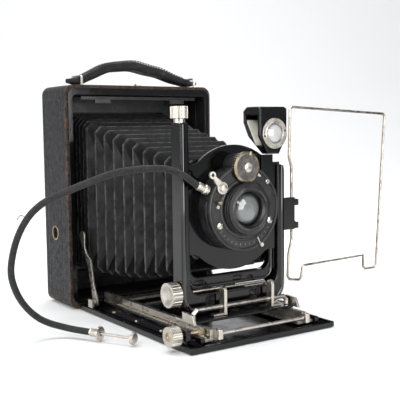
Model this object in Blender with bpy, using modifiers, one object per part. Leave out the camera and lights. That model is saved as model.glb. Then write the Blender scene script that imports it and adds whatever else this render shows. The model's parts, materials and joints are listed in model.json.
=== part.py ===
"""A folding camera for 9 x 12 cm plates, opened for use, with its lens standard run out on the bed.

The lens looks along -Y and +Z is up. X is 0 in the middle of the body, Y is 0 at its front, and Z is 0 underneath.
Sizes are in millimetres until the helpers turn them into metres.
"""

from math import asin, cos, degrees, pi, radians, sin, sqrt

import bmesh
import bpy
from mathutils import Vector
from mathutils.geometry import interpolate_bezier

MM = 0.001
GAP = 0.3

# Driving sizes of the body and of the bed
BODY_WIDTH = 118.7
BODY_HEIGHT = 155.0
BODY_DEPTH = 39.8
BODY_CORNER = 6.4
OPENING_HALF = 54.4
OPENING_BOTTOM = 5.0
OPENING_TOP = 148.0
BED_HALF = 53.6
BED_LENGTH = 142.15
BED_THICKNESS = 3.4
BED_FLOOR = 2.2
HINGE_Y = 1.9
HINGE_Z = 2.0

# Driving sizes of the focusing track, the carriage and the lens standard
TRACK_BOTTOM = 3.8
TRACK_TOP = 10.5
TRACK_HALF = 36.5
TRACK_FRONT = -136.0
TRACK_REAR = -6.0
PINION_Y = -130.0
PINION_Z = 8.7
CARRIAGE_FRONT = -122.5
CARRIAGE_REAR = -97.0
CARRIAGE_TOP = 12.4
BAR_Y = -117.3
BAR_Z = 17.7
FRAME_HALF = 38.9
FRAME_FRONT = -111.6
FRAME_BACK = -101.3
FRAME_BOTTOM = 13.0
FRAME_LEFT_TOP = 127.3
FRAME_RIGHT_TOP = 101.0
CHEEK = 5.4
SHIFT_Z = 26.3
SCREW_Y = -106.0
RISE_X = -36.1

# Driving sizes of the lens and shutter
LENS_Z = 76.0
BOARD_FRONT = -109.8
BOARD_BACK = -107.6
BOARD_RADIUS = 38.2
SHUTTER_RADIUS = 26.0
SHUTTER_FRONT = -121.0
DIAL_Z = 100.8
DIAL_RADIUS = 9.3

# Driving sizes of the two finders
FINDER_X = 25.1
FINDER_HALF = 10.6
FINDER_FRONT = -118.0
FINDER_BACK = -101.2
FINDER_TOP = 137.0
FINDER_PIVOT_X = 29.5
FINDER_PIVOT_Z = 107.5
WIRE_RADIUS = 0.85
WIRE_Y = -98.6
WIRE_HINGE_X = 56.0

# The cable release
CABLE_RADIUS = 2.0
FERRULE_ANGLE = radians(154)
FERRULE_Y = -117.0

PARTS = "folding_plate_camera"
CUTTERS = "cutters"


def clear_scene():
    for thing in list(bpy.data.objects):
        bpy.data.objects.remove(thing, do_unlink=True)


def collection(name):
    made = bpy.data.collections.new(name)
    bpy.context.scene.collection.children.link(made)
    return made


clear_scene()
parts = collection(PARTS)
cutters = collection(CUTTERS)


# Materials


def material(name, colour, roughness, metallic=0.0, transmission=0.0):
    made = bpy.data.materials.new(name)
    made.use_nodes = True
    shader = made.node_tree.nodes["Principled BSDF"]
    shader.inputs["Base Color"].default_value = (*colour, 1.0)
    shader.inputs["Roughness"].default_value = roughness
    shader.inputs["Metallic"].default_value = metallic
    shader.inputs["Transmission Weight"].default_value = transmission
    return made


LEATHER = material("grained_leather", (0.035, 0.036, 0.038), 0.6)
STRAP_LEATHER = material("strap_leather", (0.02, 0.02, 0.02), 0.7)
BELLOWS_LEATHER = material("bellows_leather", (0.018, 0.018, 0.02), 0.75)
LACQUER = material("black_lacquer", (0.012, 0.012, 0.014), 0.15)
NICKEL = material("nickel_plate", (0.72, 0.68, 0.60), 0.28, metallic=1.0)
BRASS = material("aged_brass", (0.45, 0.33, 0.16), 0.4, metallic=1.0)
SHUTTER_BLACK = material("shutter_enamel", (0.03, 0.03, 0.033), 0.4)
GLASS = material("optical_glass", (0.85, 0.88, 0.9), 0.03, transmission=0.9)
CLOTH = material("woven_cover", (0.015, 0.015, 0.016), 0.9)


# Shapes


def link(name, mesh, finish, where=None):
    made = bpy.data.objects.new(name, mesh)
    (where or parts).objects.link(made)
    if finish:
        made.data.materials.append(finish)
    return made


def block(name, low, high, finish, bevel=0.0, where=None):
    """A box from its low corner to its high corner, with its edges rounded by bevel."""
    low, high = Vector(low) * MM, Vector(high) * MM
    mesh = bpy.data.meshes.new(name)
    shape = bmesh.new()
    bmesh.ops.create_cube(shape, size=1.0)
    bmesh.ops.scale(shape, vec=high - low, verts=shape.verts)
    if bevel:
        bmesh.ops.bevel(
            shape, geom=shape.edges[:], offset=bevel * MM, segments=2, profile=0.5, affect="EDGES"
        )
    shape.to_mesh(mesh)
    shape.free()
    made = link(name, mesh, finish, where)
    made.location = (low + high) / 2
    return made


def axis_turn(direction):
    """The rotation that takes local +Z to a direction."""
    return Vector((0, 0, 1)).rotation_difference(Vector(direction).normalized())


def rod(name, start, end, radius, finish, sides=32, where=None):
    """A round bar between two points."""
    start, end = Vector(start) * MM, Vector(end) * MM
    mesh = bpy.data.meshes.new(name)
    shape = bmesh.new()
    bmesh.ops.create_cone(
        shape,
        cap_ends=True,
        segments=sides,
        radius1=radius * MM,
        radius2=radius * MM,
        depth=(end - start).length,
    )
    shape.to_mesh(mesh)
    shape.free()
    made = link(name, mesh, finish, where)
    made.location = (start + end) / 2
    made.rotation_mode = "QUATERNION"
    made.rotation_quaternion = axis_turn(end - start)
    mesh.shade_smooth()
    mesh.set_sharp_from_angle(angle=radians(40))
    return made


def turned(name, profile, origin, direction, finish, steps=40, where=None):
    """A solid of revolution. The profile's points are (radius, height) from its top down to its bottom."""
    mesh = bpy.data.meshes.new(name)
    points = [(r * MM, 0, h * MM) for r, h in profile]
    closed = profile[0][0] > 0
    edges = [(i, i + 1) for i in range(len(points) - 1)]
    if closed:
        edges.append((len(points) - 1, 0))
    mesh.from_pydata(points, edges, [])
    made = link(name, mesh, finish, where)
    made.location = Vector(origin) * MM
    made.rotation_mode = "QUATERNION"
    made.rotation_quaternion = axis_turn(direction)
    screw = made.modifiers.new("turn", "SCREW")
    screw.steps = screw.render_steps = steps
    screw.use_merge_vertices = True
    screw.merge_threshold = 0.00001
    screw.use_smooth_shade = True
    return made


FACING = {
    "x": (radians(90), 0, radians(90)),
    "y": (radians(90), 0, 0),
    "z": (0, 0, 0),
}


def to_mesh(made, finish, where=None):
    """Turns a curve object into a mesh object with welded caps."""
    bpy.context.view_layer.update()
    seen = made.evaluated_get(bpy.context.evaluated_depsgraph_get())
    mesh = bpy.data.meshes.new_from_object(seen)
    name, matrix = made.name, made.matrix_world.copy()
    curve = made.data
    bpy.data.objects.remove(made, do_unlink=True)
    bpy.data.curves.remove(curve)
    shape = bmesh.new()
    shape.from_mesh(mesh)
    bmesh.ops.remove_doubles(shape, verts=shape.verts, dist=0.000005)
    bmesh.ops.recalc_face_normals(shape, faces=shape.faces)
    shape.to_mesh(mesh)
    shape.free()
    mesh.name = name
    mesh.materials.clear()
    solid = link(name, mesh, finish, where)
    solid.name = name
    solid.matrix_world = matrix
    return solid


def plate(name, outline, axis, low, high, finish, holes=(), where=None):
    """A flat outline, with holes, filled and drawn out along an axis from low to high.

    The outline's points are (X, Z) on the y axis, (Y, Z) on the x axis and (X, Y) on the z axis.
    """
    curve = bpy.data.curves.new(name, "CURVE")
    curve.dimensions = "2D"
    curve.fill_mode = "BOTH"
    curve.extrude = (high - low) / 2 * MM
    for ring in (outline, *holes):
        spline = curve.splines.new("POLY")
        spline.points.add(len(ring) - 1)
        for point, (u, v) in zip(spline.points, ring):
            point.co = (u * MM, v * MM, 0, 1)
        spline.use_cyclic_u = True
    made = link(name, curve, None, where)
    made.rotation_euler = FACING[axis]
    made.location["xyz".index(axis)] = (low + high) / 2 * MM
    return to_mesh(made, finish, where)


def tube(name, points, radius, finish, closed=False):
    """A round curve with filled caps along a list of points."""
    curve = bpy.data.curves.new(name, "CURVE")
    curve.dimensions = "3D"
    curve.bevel_depth = radius * MM
    curve.bevel_resolution = 2
    curve.use_fill_caps = not closed
    spline = curve.splines.new("POLY")
    spline.points.add(len(points) - 1)
    for point, place in zip(spline.points, points):
        point.co = (*(Vector(place) * MM), 1)
    spline.use_cyclic_u = closed
    return link(name, curve, finish)


def wire(name, points, radius, finish, closed=False):
    """The same tube as a mesh, for a wire that is a rigid piece."""
    return to_mesh(tube(name, points, radius, finish, closed), finish)


def as_cutter(made):
    made.hide_render = True
    made.display_type = "WIRE"
    return made


def boolean(target, other, operation):
    step = target.modifiers.new(operation.lower(), "BOOLEAN")
    step.operation = operation
    step.solver = "EXACT"
    step.object = as_cutter(other)
    return target


def cut_block(target, low, high):
    return boolean(target, block("cut", low, high, None, where=cutters), "DIFFERENCE")


def cut_rod(target, start, end, radius, sides=32):
    return boolean(target, rod("cut", start, end, radius, None, sides, where=cutters), "DIFFERENCE")


def add_block(target, low, high):
    return boolean(target, block("add", low, high, None, where=cutters), "UNION")


def add_rod(target, start, end, radius, sides=32):
    return boolean(target, rod("add", start, end, radius, None, sides, where=cutters), "UNION")


# Outlines


def arc(centre, radius, start, end, count):
    """Points along an arc, with its angles in degrees."""
    u, v = centre
    steps = [radians(start + (end - start) * i / (count - 1)) for i in range(count)]
    return [(u + radius * cos(a), v + radius * sin(a)) for a in steps]


def rounded(low, high, radius, count=5):
    """A rectangle with four equal round corners."""
    (u0, v0), (u1, v1) = low, high
    corners = [
        ((u1 - radius, v0 + radius), -90),
        ((u1 - radius, v1 - radius), 0),
        ((u0 + radius, v1 - radius), 90),
        ((u0 + radius, v0 + radius), 180),
    ]
    return [p for centre, a in corners for p in arc(centre, radius, a, a + 90, count)]


def fluted(radius, depth, count):
    """A knurled knob's outline: raised ribs with narrow valleys between them."""
    ring = []
    for i in range(count):
        a = 2 * pi * i / count
        rib = pi / count * 0.55
        ring += [(radius * cos(a - rib), radius * sin(a - rib))]
        ring += [(radius * cos(a + rib), radius * sin(a + rib))]
        valley = a + pi / count
        ring += [((radius - depth) * cos(valley), (radius - depth) * sin(valley))]
    return ring


def knob(name, centre, axis, low, high, radius, finish, count=24):
    u, v = centre
    ring = [(u + a, v + b) for a, b in fluted(radius, 0.35, count)]
    return plate(name, ring, axis, low, high, finish)


# Bodies: an empty stands on each joint's axis, and the pieces that move with it are its children


def body(name, place, parent=None):
    made = bpy.data.objects.new(name, None)
    parts.objects.link(made)
    made.empty_display_size = 0.01
    made.location = Vector(place) * MM
    if parent:
        hold([made], parent)
    return made


def hold(pieces, parent):
    """Parents pieces to a body and leaves them where they are."""
    bpy.context.view_layer.update()
    for piece in pieces:
        piece.parent = parent
        piece.matrix_parent_inverse = parent.matrix_world.inverted()


# The body, its strap and its back


def camera_body():
    half = BODY_WIDTH / 2
    outer = rounded((-half, 0), (half, BODY_HEIGHT), BODY_CORNER, 7)
    inner = rounded((-OPENING_HALF, OPENING_BOTTOM), (OPENING_HALF, OPENING_TOP), 3.0, 4)
    shell = plate("body_shell", outer, "y", 0.0, BODY_DEPTH, LEATHER, holes=[inner])
    cut_block(shell, (-46.6, -1, -1), (46.6, 4.4, OPENING_BOTTOM + 0.5))
    cut_rod(shell, (-52.3, HINGE_Y, HINGE_Z), (52.3, HINGE_Y, HINGE_Z), 1.1, 16)
    cut_rod(shell, (-half - 1, 22.6, 51.5), (-OPENING_HALF + 1, 22.6, 51.5), 5.6)
    cut_rod(shell, (1.5, 8, OPENING_TOP - 1), (1.5, 8, BODY_HEIGHT + 1), 2.9, 24)

    rim_outer = rounded((-half + 1.6, 4.0), (half - 1.6, BODY_HEIGHT - 2.2), 5.5, 5)
    rim_inner = rounded((-OPENING_HALF - 0.2, 5.2), (OPENING_HALF + 0.2, OPENING_TOP + 0.2), 3.0, 4)
    rim = plate("front_rim", rim_outer, "y", -0.9, -GAP, LACQUER, holes=[rim_inner])

    bush = plate(
        "tripod_bush_side",
        arc((22.6, 51.5), 5.2, 0, 350, 36),
        "x",
        -half - 0.3,
        -OPENING_HALF - 0.3,
        BRASS,
        holes=[arc((22.6, 51.5), 4.3, 0, 350, 36)],
    )

    latch = block("door_latch_strip", (-47, 2.0, 144.9), (47, 3.6, 147.2), NICKEL)
    for x in (-30.5, 30.5):
        add_block(latch, (x - 6, 1.2, 142.4), (x + 6, 3.2, 145.6))
    return [shell, rim, bush, latch]


def strap_line(x, low, high):
    """The height of the strap's middle: flat on the body at its ends, and arched between."""
    t = (x - low) / (high - low)
    return 158.0 + 13.2 * sin(pi * t) ** 1.15 * (1.0 + 0.22 * cos(pi * t))


def carrying_strap():
    low, high = -44.0, 52.0
    run = [low + (high - low) * i / 24 for i in range(25)]
    top = [(x, strap_line(x, low, high) + 1.5) for x in run]
    under = [(x, strap_line(x, low, high) - 1.3) for x in run]
    left = arc((low - 7.5, 158.1), 2.5, 270, 90, 9)
    right = arc((high + 4.5, 158.1), 2.5, 90, -90, 9)
    outline = left + top + right + under[::-1]
    strap = plate("carrying_strap", outline, "y", 10.0, 22.5, STRAP_LEATHER)
    lugs = []
    for side, x in (("left", low + 1.2), ("right", high - 1.2)):
        feet = BODY_HEIGHT + GAP
        path = [(x, 8.4, feet), (x, 8.4, 160.6), (x, 9.4, 161.6)]
        path += [(x, 32.5 - y, z) for _, y, z in path[::-1]]
        lugs.append(wire(f"strap_lug_{side}", path, 0.9, NICKEL))
    return [strap, *lugs]


def camera_back():
    """The fixed back, and the focusing back that slides up out of it to make room for a plate holder."""
    window = rounded((-42, 18), (42, 137), 2.0, 3)
    fixed = plate(
        "back_frame",
        rounded((-50.5, 8), (50.5, 147), 4.0, 4),
        "y",
        BODY_DEPTH + GAP,
        46.0,
        LACQUER,
        holes=[window],
    )
    slide = plate(
        "focusing_back_frame", rounded((-47.5, 12), (47.5, 143), 2.0, 3), "y", 46.3, 49.4, LACQUER, holes=[window]
    )
    glass = plate(
        "ground_glass", rounded((-41.7, 18.3), (41.7, 136.7), 1.8, 3), "y", 46.8, 48.4, GLASS
    )
    cover = plate("focusing_hood_cover", rounded((-46, 14), (46, 141), 3.0, 4), "y", 49.7, 51.8, LEATHER)
    return [fixed], [slide, glass], [cover]


# The bed, its hinge, its struts and the focusing pinion


def bed():
    door = block("bed_plate", (-BED_HALF, -BED_LENGTH, 0), (BED_HALF, -1.6, BED_THICKNESS), LACQUER, bevel=0.5)
    cut_block(door, (-BED_HALF + 2, -BED_LENGTH + 2, BED_FLOOR), (BED_HALF - 2, -3.6, BED_THICKNESS + 1))
    for low, high in ((-46, -30), (30, 46)):
        add_block(door, (low, -3.0, 0.4), (high, 3.6, 3.3))
    add_block(door, (-20, -3.0, 0), (20, 3.6, 3.3))
    cut_rod(door, (-50, HINGE_Y, HINGE_Z), (50, HINGE_Y, HINGE_Z), 1.1, 16)
    cut_rod(door, (0, -62, -1), (0, -62, 5), 7.3, 32)
    pin = rod("bed_hinge_pin", (-52, HINGE_Y, HINGE_Z), (52, HINGE_Y, HINGE_Z), 0.8, NICKEL, 16)
    bush = plate(
        "tripod_bush_bed",
        arc((0, -62), 7.0, 0, 350, 36),
        "z",
        0.0,
        2.9,
        BRASS,
        holes=[arc((0, -62), 4.3, 0, 350, 36)],
    )
    rails = []
    for name, side in (("left", -1), ("right", 1)):
        wall = sorted((side * 44.0, side * 41.4))
        lip = sorted((side * 47.5, side * 43.0))
        rail = block(f"bed_rail_{name}", (wall[0], -138.0, 2.5), (wall[1], -4.0, 7.0), LACQUER)
        add_block(rail, (lip[0], -138.0, 2.5), (lip[1], -4.0, 3.4))
        rails.append(rail)
    return [door, pin, bush, *rails]


def strut(side):
    """A nickel strut, from its pivot on the bed up to the catch inside the body, with a finger tab on top."""
    edge = [(-20.3, 5.2), (-17.0, 3.9), (-13.9, 5.6), (-6.6, 31.0), (-1.4, 38.0), (1.2, 43.0)]
    tab = arc((1.4, 50.2), 4.0, -20, 170, 9)
    back = [(-2.3, 43.0), (-4.8, 39.0), (-11.5, 35.0), (-13.4, 27.0), (-14.6, 20.0), (-20.6, 8.4)]
    faces = sorted((side * 49.2, side * 48.0))
    name = "left" if side < 0 else "right"
    hole = arc((-17.0, 7.0), 1.3, 0, 330, 12)
    blade = plate(f"bed_strut_{name}", edge + tab + back, "x", faces[0], faces[1], NICKEL, holes=[hole])
    head = sorted((side * 49.6, side * 50.8))
    pivot = rod(
        f"strut_pivot_{name}", (side * 47.0, -17.0, 7.0), (side * 51.5, -17.0, 7.0), 1.0, NICKEL, 16
    )
    add_rod(pivot, (head[0], -17.0, 7.0), (head[1], -17.0, 7.0), 2.1, 20)
    add_block(pivot, (min(side * 51.4, side * 53.0), -20.0, 3.8), (max(side * 51.4, side * 53.0), -14.0, 9.2))
    return blade, pivot


def pinion():
    bearing = block("pinion_bearing", (-51.4, -134.0, 2.5), (-47.8, -126.0, 11.4), BRASS, bevel=0.6)
    cut_rod(bearing, (-53, PINION_Y, PINION_Z), (-45, PINION_Y, PINION_Z), 1.5, 20)
    teeth = [(PINION_Y + a, PINION_Z + b) for a, b in fluted(1.9, 0.45, 12)]
    gear = plate("focus_pinion", teeth, "x", -41.0, -37.4, BRASS)
    add_rod(gear, (-54.3, PINION_Y, PINION_Z), (-40.6, PINION_Y, PINION_Z), 1.2, 20)
    head = knob("focus_knob", (PINION_Y, PINION_Z), "x", -60.8, -54.6, 5.8, NICKEL, 30)
    return [bearing], [gear, head]


# The focusing track


def track():
    low = -TRACK_HALF - 4.5
    frame = block("focus_track", (low, TRACK_FRONT, TRACK_BOTTOM), (-low, TRACK_REAR, 5.4), NICKEL)
    cut_block(frame, (-29.0, TRACK_FRONT - 1, 3), (29.0, TRACK_REAR - 9, 6))
    for side in (-1, 1):
        rail = sorted((side * TRACK_HALF, side * (TRACK_HALF - 3.0)))
        add_block(frame, (rail[0], TRACK_FRONT, 5.0), (rail[1], TRACK_REAR, TRACK_TOP))
    pitch = 3.6
    teeth = []
    for i in range(29):
        y = -29.0 - i * pitch
        teeth += [(y, 6.1), (y - 0.4, 6.5), (y - 1.4, 6.5), (y - 1.8, 6.1)]
    profile = [(-134.0, 5.7), (-28.0, 5.7), (-28.0, 6.1), *teeth, (-134.0, 6.1)]
    rack = plate("focus_rack", profile, "x", -41.0, -37.4, BRASS)
    stay = rod("track_crosspiece", (-30.4, -138.8, 8.2), (30.9, -138.8, 8.2), 1.1, NICKEL, 20)
    stops = []
    for name, x in (("left", -33.9), ("right", 31.2)):
        stop = block(f"track_stop_{name}", (x, -141.0, 5.0), (x + 3.2, -136.3, 11.0), NICKEL, bevel=0.5)
        cut_block(stop, (x - 1, -139.4, 9.8), (x + 5, -137.8, 12))
        stops.append(stop)
    return [frame, rack, stay, *stops]


# The carriage that slides on the track and carries the lens standard


def carriage():
    base = block(
        "carriage_plate",
        (-37, CARRIAGE_FRONT, TRACK_TOP + GAP),
        (37, CARRIAGE_REAR, CARRIAGE_TOP),
        LACQUER,
        bevel=0.3,
    )
    shoes = []
    for name, side in (("left", -1), ("right", 1)):
        wall = sorted((side * 38.4, side * 40.0))
        reach = [(-125.4, 11.0), (-104.4, 11.0), (-104.4, 12.6), (-112.3, 12.6), (-112.3, 17.2), (-122.6, 16.6)]
        shoes.append(plate(f"carriage_shoe_{name}", reach, "x", wall[0], wall[1], NICKEL))
    foot = CARRIAGE_TOP + GAP
    path = [(-35.3, BAR_Y, foot), (-35.3, BAR_Y, 15.6), (-33.0, BAR_Y, BAR_Z)]
    path += [(-x, y, z) for x, y, z in path[::-1]]
    bar = wire("pinch_bar", path, 1.5, NICKEL)
    nut = block("shift_nut", (-5, -104.4, SHIFT_Z - 1.0), (5, -98.0, SHIFT_Z + 1.0), BRASS)
    add_block(nut, (-5, -99.8, foot), (5, -98.0, SHIFT_Z))
    return [base, *shoes, bar, nut]


def pinch_lever(name, x, outwards):
    """A finger plate that slides along the bar, with a small foot that grips the carriage."""
    outline = [(BAR_Y - 2.6, 12.7), (BAR_Y + 2.6, 12.7)] + arc((BAR_Y, 27.1), 2.6, 0, 180, 9)
    hole = arc((BAR_Y, BAR_Z), 1.85, 0, 337.5, 16)
    lever = plate(name, outline, "x", x - 1.0, x + 1.0, NICKEL, holes=[hole])
    foot = sorted((x, x + outwards * 8.0))
    return add_block(lever, (foot[0], BAR_Y - 1.8, 12.7), (foot[1], BAR_Y + 1.6, 13.8))


# The lens standard


def u_outline(half, cheek, bottom, sill, left_top, right_top, corner, throat):
    """A U seen from the front. Its left cheek is taller than its right one, which has a round top."""
    inner = half - cheek
    shoulder = cheek * 0.6
    outside = [(-half, left_top)]
    outside += arc((-half + corner, bottom + corner), corner, 180, 270, 7)
    outside += arc((half - corner, bottom + corner), corner, 270, 360, 7)
    outside += arc((half - shoulder, right_top - shoulder), shoulder, 0, 90, 4)
    inside = [(inner, right_top)]
    inside += arc((inner - throat, sill + throat), throat, 0, -90, 6)
    inside += arc((-inner + throat, sill + throat), throat, 270, 180, 6)
    inside += [(-inner, left_top)]
    return outside + inside


def standard():
    outline = u_outline(
        FRAME_HALF, CHEEK, FRAME_BOTTOM, 25.0, FRAME_LEFT_TOP, FRAME_RIGHT_TOP, 12.0, 8.0
    )
    frame = plate("standard_frame", outline, "y", FRAME_FRONT, FRAME_BACK, LACQUER)
    groove = FRAME_HALF - 2.0
    for side in (-1, 1):
        slot = sorted((side * groove, side * (groove - 6)))
        cut_block(frame, (slot[0], BOARD_FRONT - 0.4, 34.0), (slot[1], BOARD_BACK + 0.4, 130))
    cut_block(frame, (RISE_X - 1.2, BOARD_BACK, 45), (RISE_X + 1.2, SCREW_Y + 1.2, 130))
    cut_rod(frame, (-FRAME_HALF - 1, SCREW_Y, SHIFT_Z), (-20, SCREW_Y, SHIFT_Z), 1.3, 20)
    for x in (-19.4, 13.4):
        cut_block(frame, (x - 2.6, FRAME_FRONT - 1, 18.6), (x + 2.6, FRAME_FRONT + 1.2, 23.2))

    inner = u_outline(33.2, 3.0, 27.8, 34.7, 112.0, 99.0, 8.0, 6.0)
    liner = plate("standard_inner_frame", inner, "y", -106.9, -102.0, LACQUER)
    for x in (-24.0, 5.0):
        cut_block(liner, (x - 3.2, -108, 29.0), (x + 3.2, -105.8, 32.6))

    screw = rod("shift_screw", (-39.3, SCREW_Y, SHIFT_Z), (27, SCREW_Y, SHIFT_Z), 1.0, NICKEL, 16)
    turn = knob("shift_knob", (SCREW_Y, SHIFT_Z), "x", -46.2, -39.6, 7.5, NICKEL, 22)
    dish = [(0, 3), (6.2, 3), (6.2, 0.2), (3, -1.0), (0, -1.2)]
    hollow = turned("cut", dish, (-46.2, SCREW_Y, SHIFT_Z), (-1, 0, 0), None, 32, cutters)
    boolean(turn, hollow, "DIFFERENCE")

    lift = rod("rise_screw", (RISE_X, SCREW_Y, 50), (RISE_X, SCREW_Y, 127.3), 0.9, NICKEL, 16)
    add_rod(lift, (RISE_X, SCREW_Y, 127.6), (RISE_X, SCREW_Y, 129.9), 3.4, 24)
    add_rod(lift, (RISE_X, SCREW_Y, 127.0), (RISE_X, SCREW_Y, 128.0), 0.9, 16)
    top = knob("rise_knob", (RISE_X, SCREW_Y), "z", 130.2, 137.2, 5.2, NICKEL, 26)
    return [frame, liner], [screw, turn], [lift, top]


# The lens board with the shutter and the lens


def board_outline():
    """A disc with a square shoulder on each side, which the standard's grooves guide."""
    half, fillet = 36.4, 7.0
    points = []
    for side, turn, shoulder in ((1, -1, 47.6), (1, 1, 102.6), (-1, 1, 103.1), (-1, -1, 49.4)):
        rise = abs(shoulder - LENS_Z)
        reach = sqrt((BOARD_RADIUS + fillet) ** 2 - (rise + fillet) ** 2)
        leave = degrees(asin((rise + fillet) / (BOARD_RADIUS + fillet)))
        quarter = [(half, rise)] + arc((reach, rise + fillet), fillet, 270, 180 + leave, 5)
        for i in range(1, 7):
            angle = radians(leave + (90 - leave) * i / 6.5)
            quarter.append((BOARD_RADIUS * cos(angle), BOARD_RADIUS * sin(angle)))
        placed = [(side * u, LENS_Z + turn * v) for u, v in quarter]
        points += placed if side * turn > 0 else placed[::-1]
    return points


def lens_board():
    hole = arc((0, LENS_Z), 15.6, 0, 350, 36)
    board = plate("lens_board", board_outline(), "y", BOARD_FRONT, BOARD_BACK, LACQUER, holes=[hole])
    add_block(board, (20.5, -112.0, 97.5), (29.3, BOARD_BACK, FINDER_PIVOT_Z))
    frame = plate(
        "bellows_front_frame",
        rounded((-29.6, 46.0), (29.6, 106.0), 4.0, 4),
        "y",
        BOARD_BACK + GAP,
        -104.6,
        LACQUER,
        holes=[rounded((-24, 52), (24, 100), 3.0, 3)],
    )

    back = BOARD_FRONT - GAP
    housing = plate(
        "shutter_housing",
        arc((0, LENS_Z), SHUTTER_RADIUS, 0, 355, 72),
        "y",
        SHUTTER_FRONT,
        back,
        SHUTTER_BLACK,
        holes=[arc((0, LENS_Z), 12.9, 0, 350, 36)],
    )
    add_rod(housing, (0, back, DIAL_Z), (0, SHUTTER_FRONT, DIAL_Z), DIAL_RADIUS - 1.0, 40)
    dial = turned(
        "speed_dial",
        [(0, 3.6), (2.6, 3.6), (2.8, 3.0), (8.2, 3.0), (DIAL_RADIUS, 2.4), (DIAL_RADIUS, 0), (0, 0)],
        (0, SHUTTER_FRONT - GAP, DIAL_Z),
        (0, -1, 0),
        BRASS,
        48,
    )
    cut_block(dial, (-3, SHUTTER_FRONT - 4.5, DIAL_Z - 0.35), (3, SHUTTER_FRONT - 3.5, DIAL_Z + 0.35))
    return board, frame, housing, dial


def optics():
    """The lens mount, the front glass, and the rear cell that screws in behind the board."""
    barrel = turned(
        "lens_barrel",
        [(13.6, 6.4), (15.2, 5.6), (15.2, 0.3), (10.4, 0.3), (10.4, 4.2), (11.6, 6.0)],
        (0, SHUTTER_FRONT, LENS_Z),
        (0, -1, 0),
        SHUTTER_BLACK,
        48,
    )
    front = turned(
        "front_element",
        [(0, 4.6), (4, 4.3), (7.2, 3.5), (10.0, 2.2), (10.0, 0.3), (0, 0.3)],
        (0, SHUTTER_FRONT, LENS_Z),
        (0, -1, 0),
        GLASS,
        40,
    )
    rear = turned(
        "rear_cell",
        [(12.4, 11.0), (12.4, -0.2), (14.6, -1.0), (14.6, -8.6), (11.0, -9.0), (11.0, 10.0)],
        (0, BOARD_BACK - 2.2, LENS_Z),
        (0, -1, 0),
        SHUTTER_BLACK,
        40,
    )
    return [barrel, front, rear]


def levers():
    """The cocking lever beside the dial and the aperture lever under the lens."""
    front = SHUTTER_FRONT - GAP
    pivot = Vector((-17.0, 0, 89.2))
    tip = Vector((-23.9, 0, 97.0))
    along = (tip - pivot).normalized()
    side = Vector((along.z, 0, -along.x))
    neck = pivot + along * 8.4
    heading = degrees(asin(along.z))
    outline = arc((pivot.x, pivot.z), 3.7, 180 - heading + 35, 180 - heading + 325, 14)
    outline.append(((neck + side).x, (neck + side).z))
    outline += arc((tip.x, tip.z), 2.2, 180 - heading - 140, 180 - heading + 140, 12)
    outline.append(((neck - side).x, (neck - side).z))
    cocking = plate(
        "cocking_lever",
        outline,
        "y",
        front - 1.5,
        front,
        NICKEL,
        holes=[arc((tip.x, tip.z), 1.1, 0, 330, 10)],
    )
    add_rod(cocking, (pivot.x, front - 2.4, pivot.z), (pivot.x, front - 1.0, pivot.z), 2.5, 20)

    angle = radians(-63)
    inner, outer = 20.0, 25.4
    spot = [(r * cos(angle), LENS_Z + r * sin(angle)) for r in (inner, outer)]
    aperture = rod(
        "aperture_lever", (spot[0][0], front - 0.6, spot[0][1]), (spot[1][0], front - 0.6, spot[1][1]), 0.55, NICKEL, 12
    )
    add_rod(aperture, (spot[1][0], front - 2.2, spot[1][1]), (spot[1][0], front, spot[1][1]), 1.3, 16)
    return cocking, aperture


# The finders


def reflex_finder():
    """The brilliant finder: a box with a sloping back, a lens in front and a mirror seen from the side."""
    left, right = FINDER_X - FINDER_HALF, FINDER_X + FINDER_HALF
    profile = [(FINDER_FRONT, 108.0), (FINDER_FRONT + 6.0, 108.0), (FINDER_BACK, 127.5)]
    profile += [(FINDER_BACK, 134.5), (FINDER_BACK - 3.5, FINDER_TOP)]
    profile += [(FINDER_FRONT + 2.5, FINDER_TOP), (FINDER_FRONT, FINDER_TOP - 1.2)]
    housing = plate("finder_housing", profile, "x", left, right, LACQUER)
    taper = [(left - 1, 106), (left - 1, 119), (left, 119), (FINDER_X - 4.4, 108.0), (FINDER_X - 4.4, 106)]
    for side in (-1, 1):
        ring = [(FINDER_X + side * (u - FINDER_X), v) for u, v in taper]
        wedge = plate("cut", ring, "y", FINDER_FRONT - 1, FINDER_BACK + 1, None, where=cutters)
        boolean(housing, wedge, "DIFFERENCE")
    hollow = [(FINDER_FRONT + 2.2, 113.0), (FINDER_FRONT + 5.6, 113.0), (FINDER_BACK - 2.0, 127.6)]
    hollow += [(FINDER_BACK - 2.0, 132.0), (FINDER_FRONT + 2.2, 132.0)]
    boolean(housing, plate("cut", hollow, "x", left - 2, right - 1.5, None, where=cutters), "DIFFERENCE")
    centre = (FINDER_X, 120.6)
    cut_rod(housing, (centre[0], FINDER_FRONT - 1, centre[1]), (centre[0], FINDER_FRONT + 3, centre[1]), 7.2, 32)
    ring = plate(
        "finder_lens_ring",
        arc(centre, 9.4, 0, 350, 36),
        "y",
        FINDER_FRONT - 1.6,
        FINDER_FRONT - GAP,
        NICKEL,
        holes=[arc(centre, 6.0, 0, 350, 36)],
    )
    return housing, ring


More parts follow.
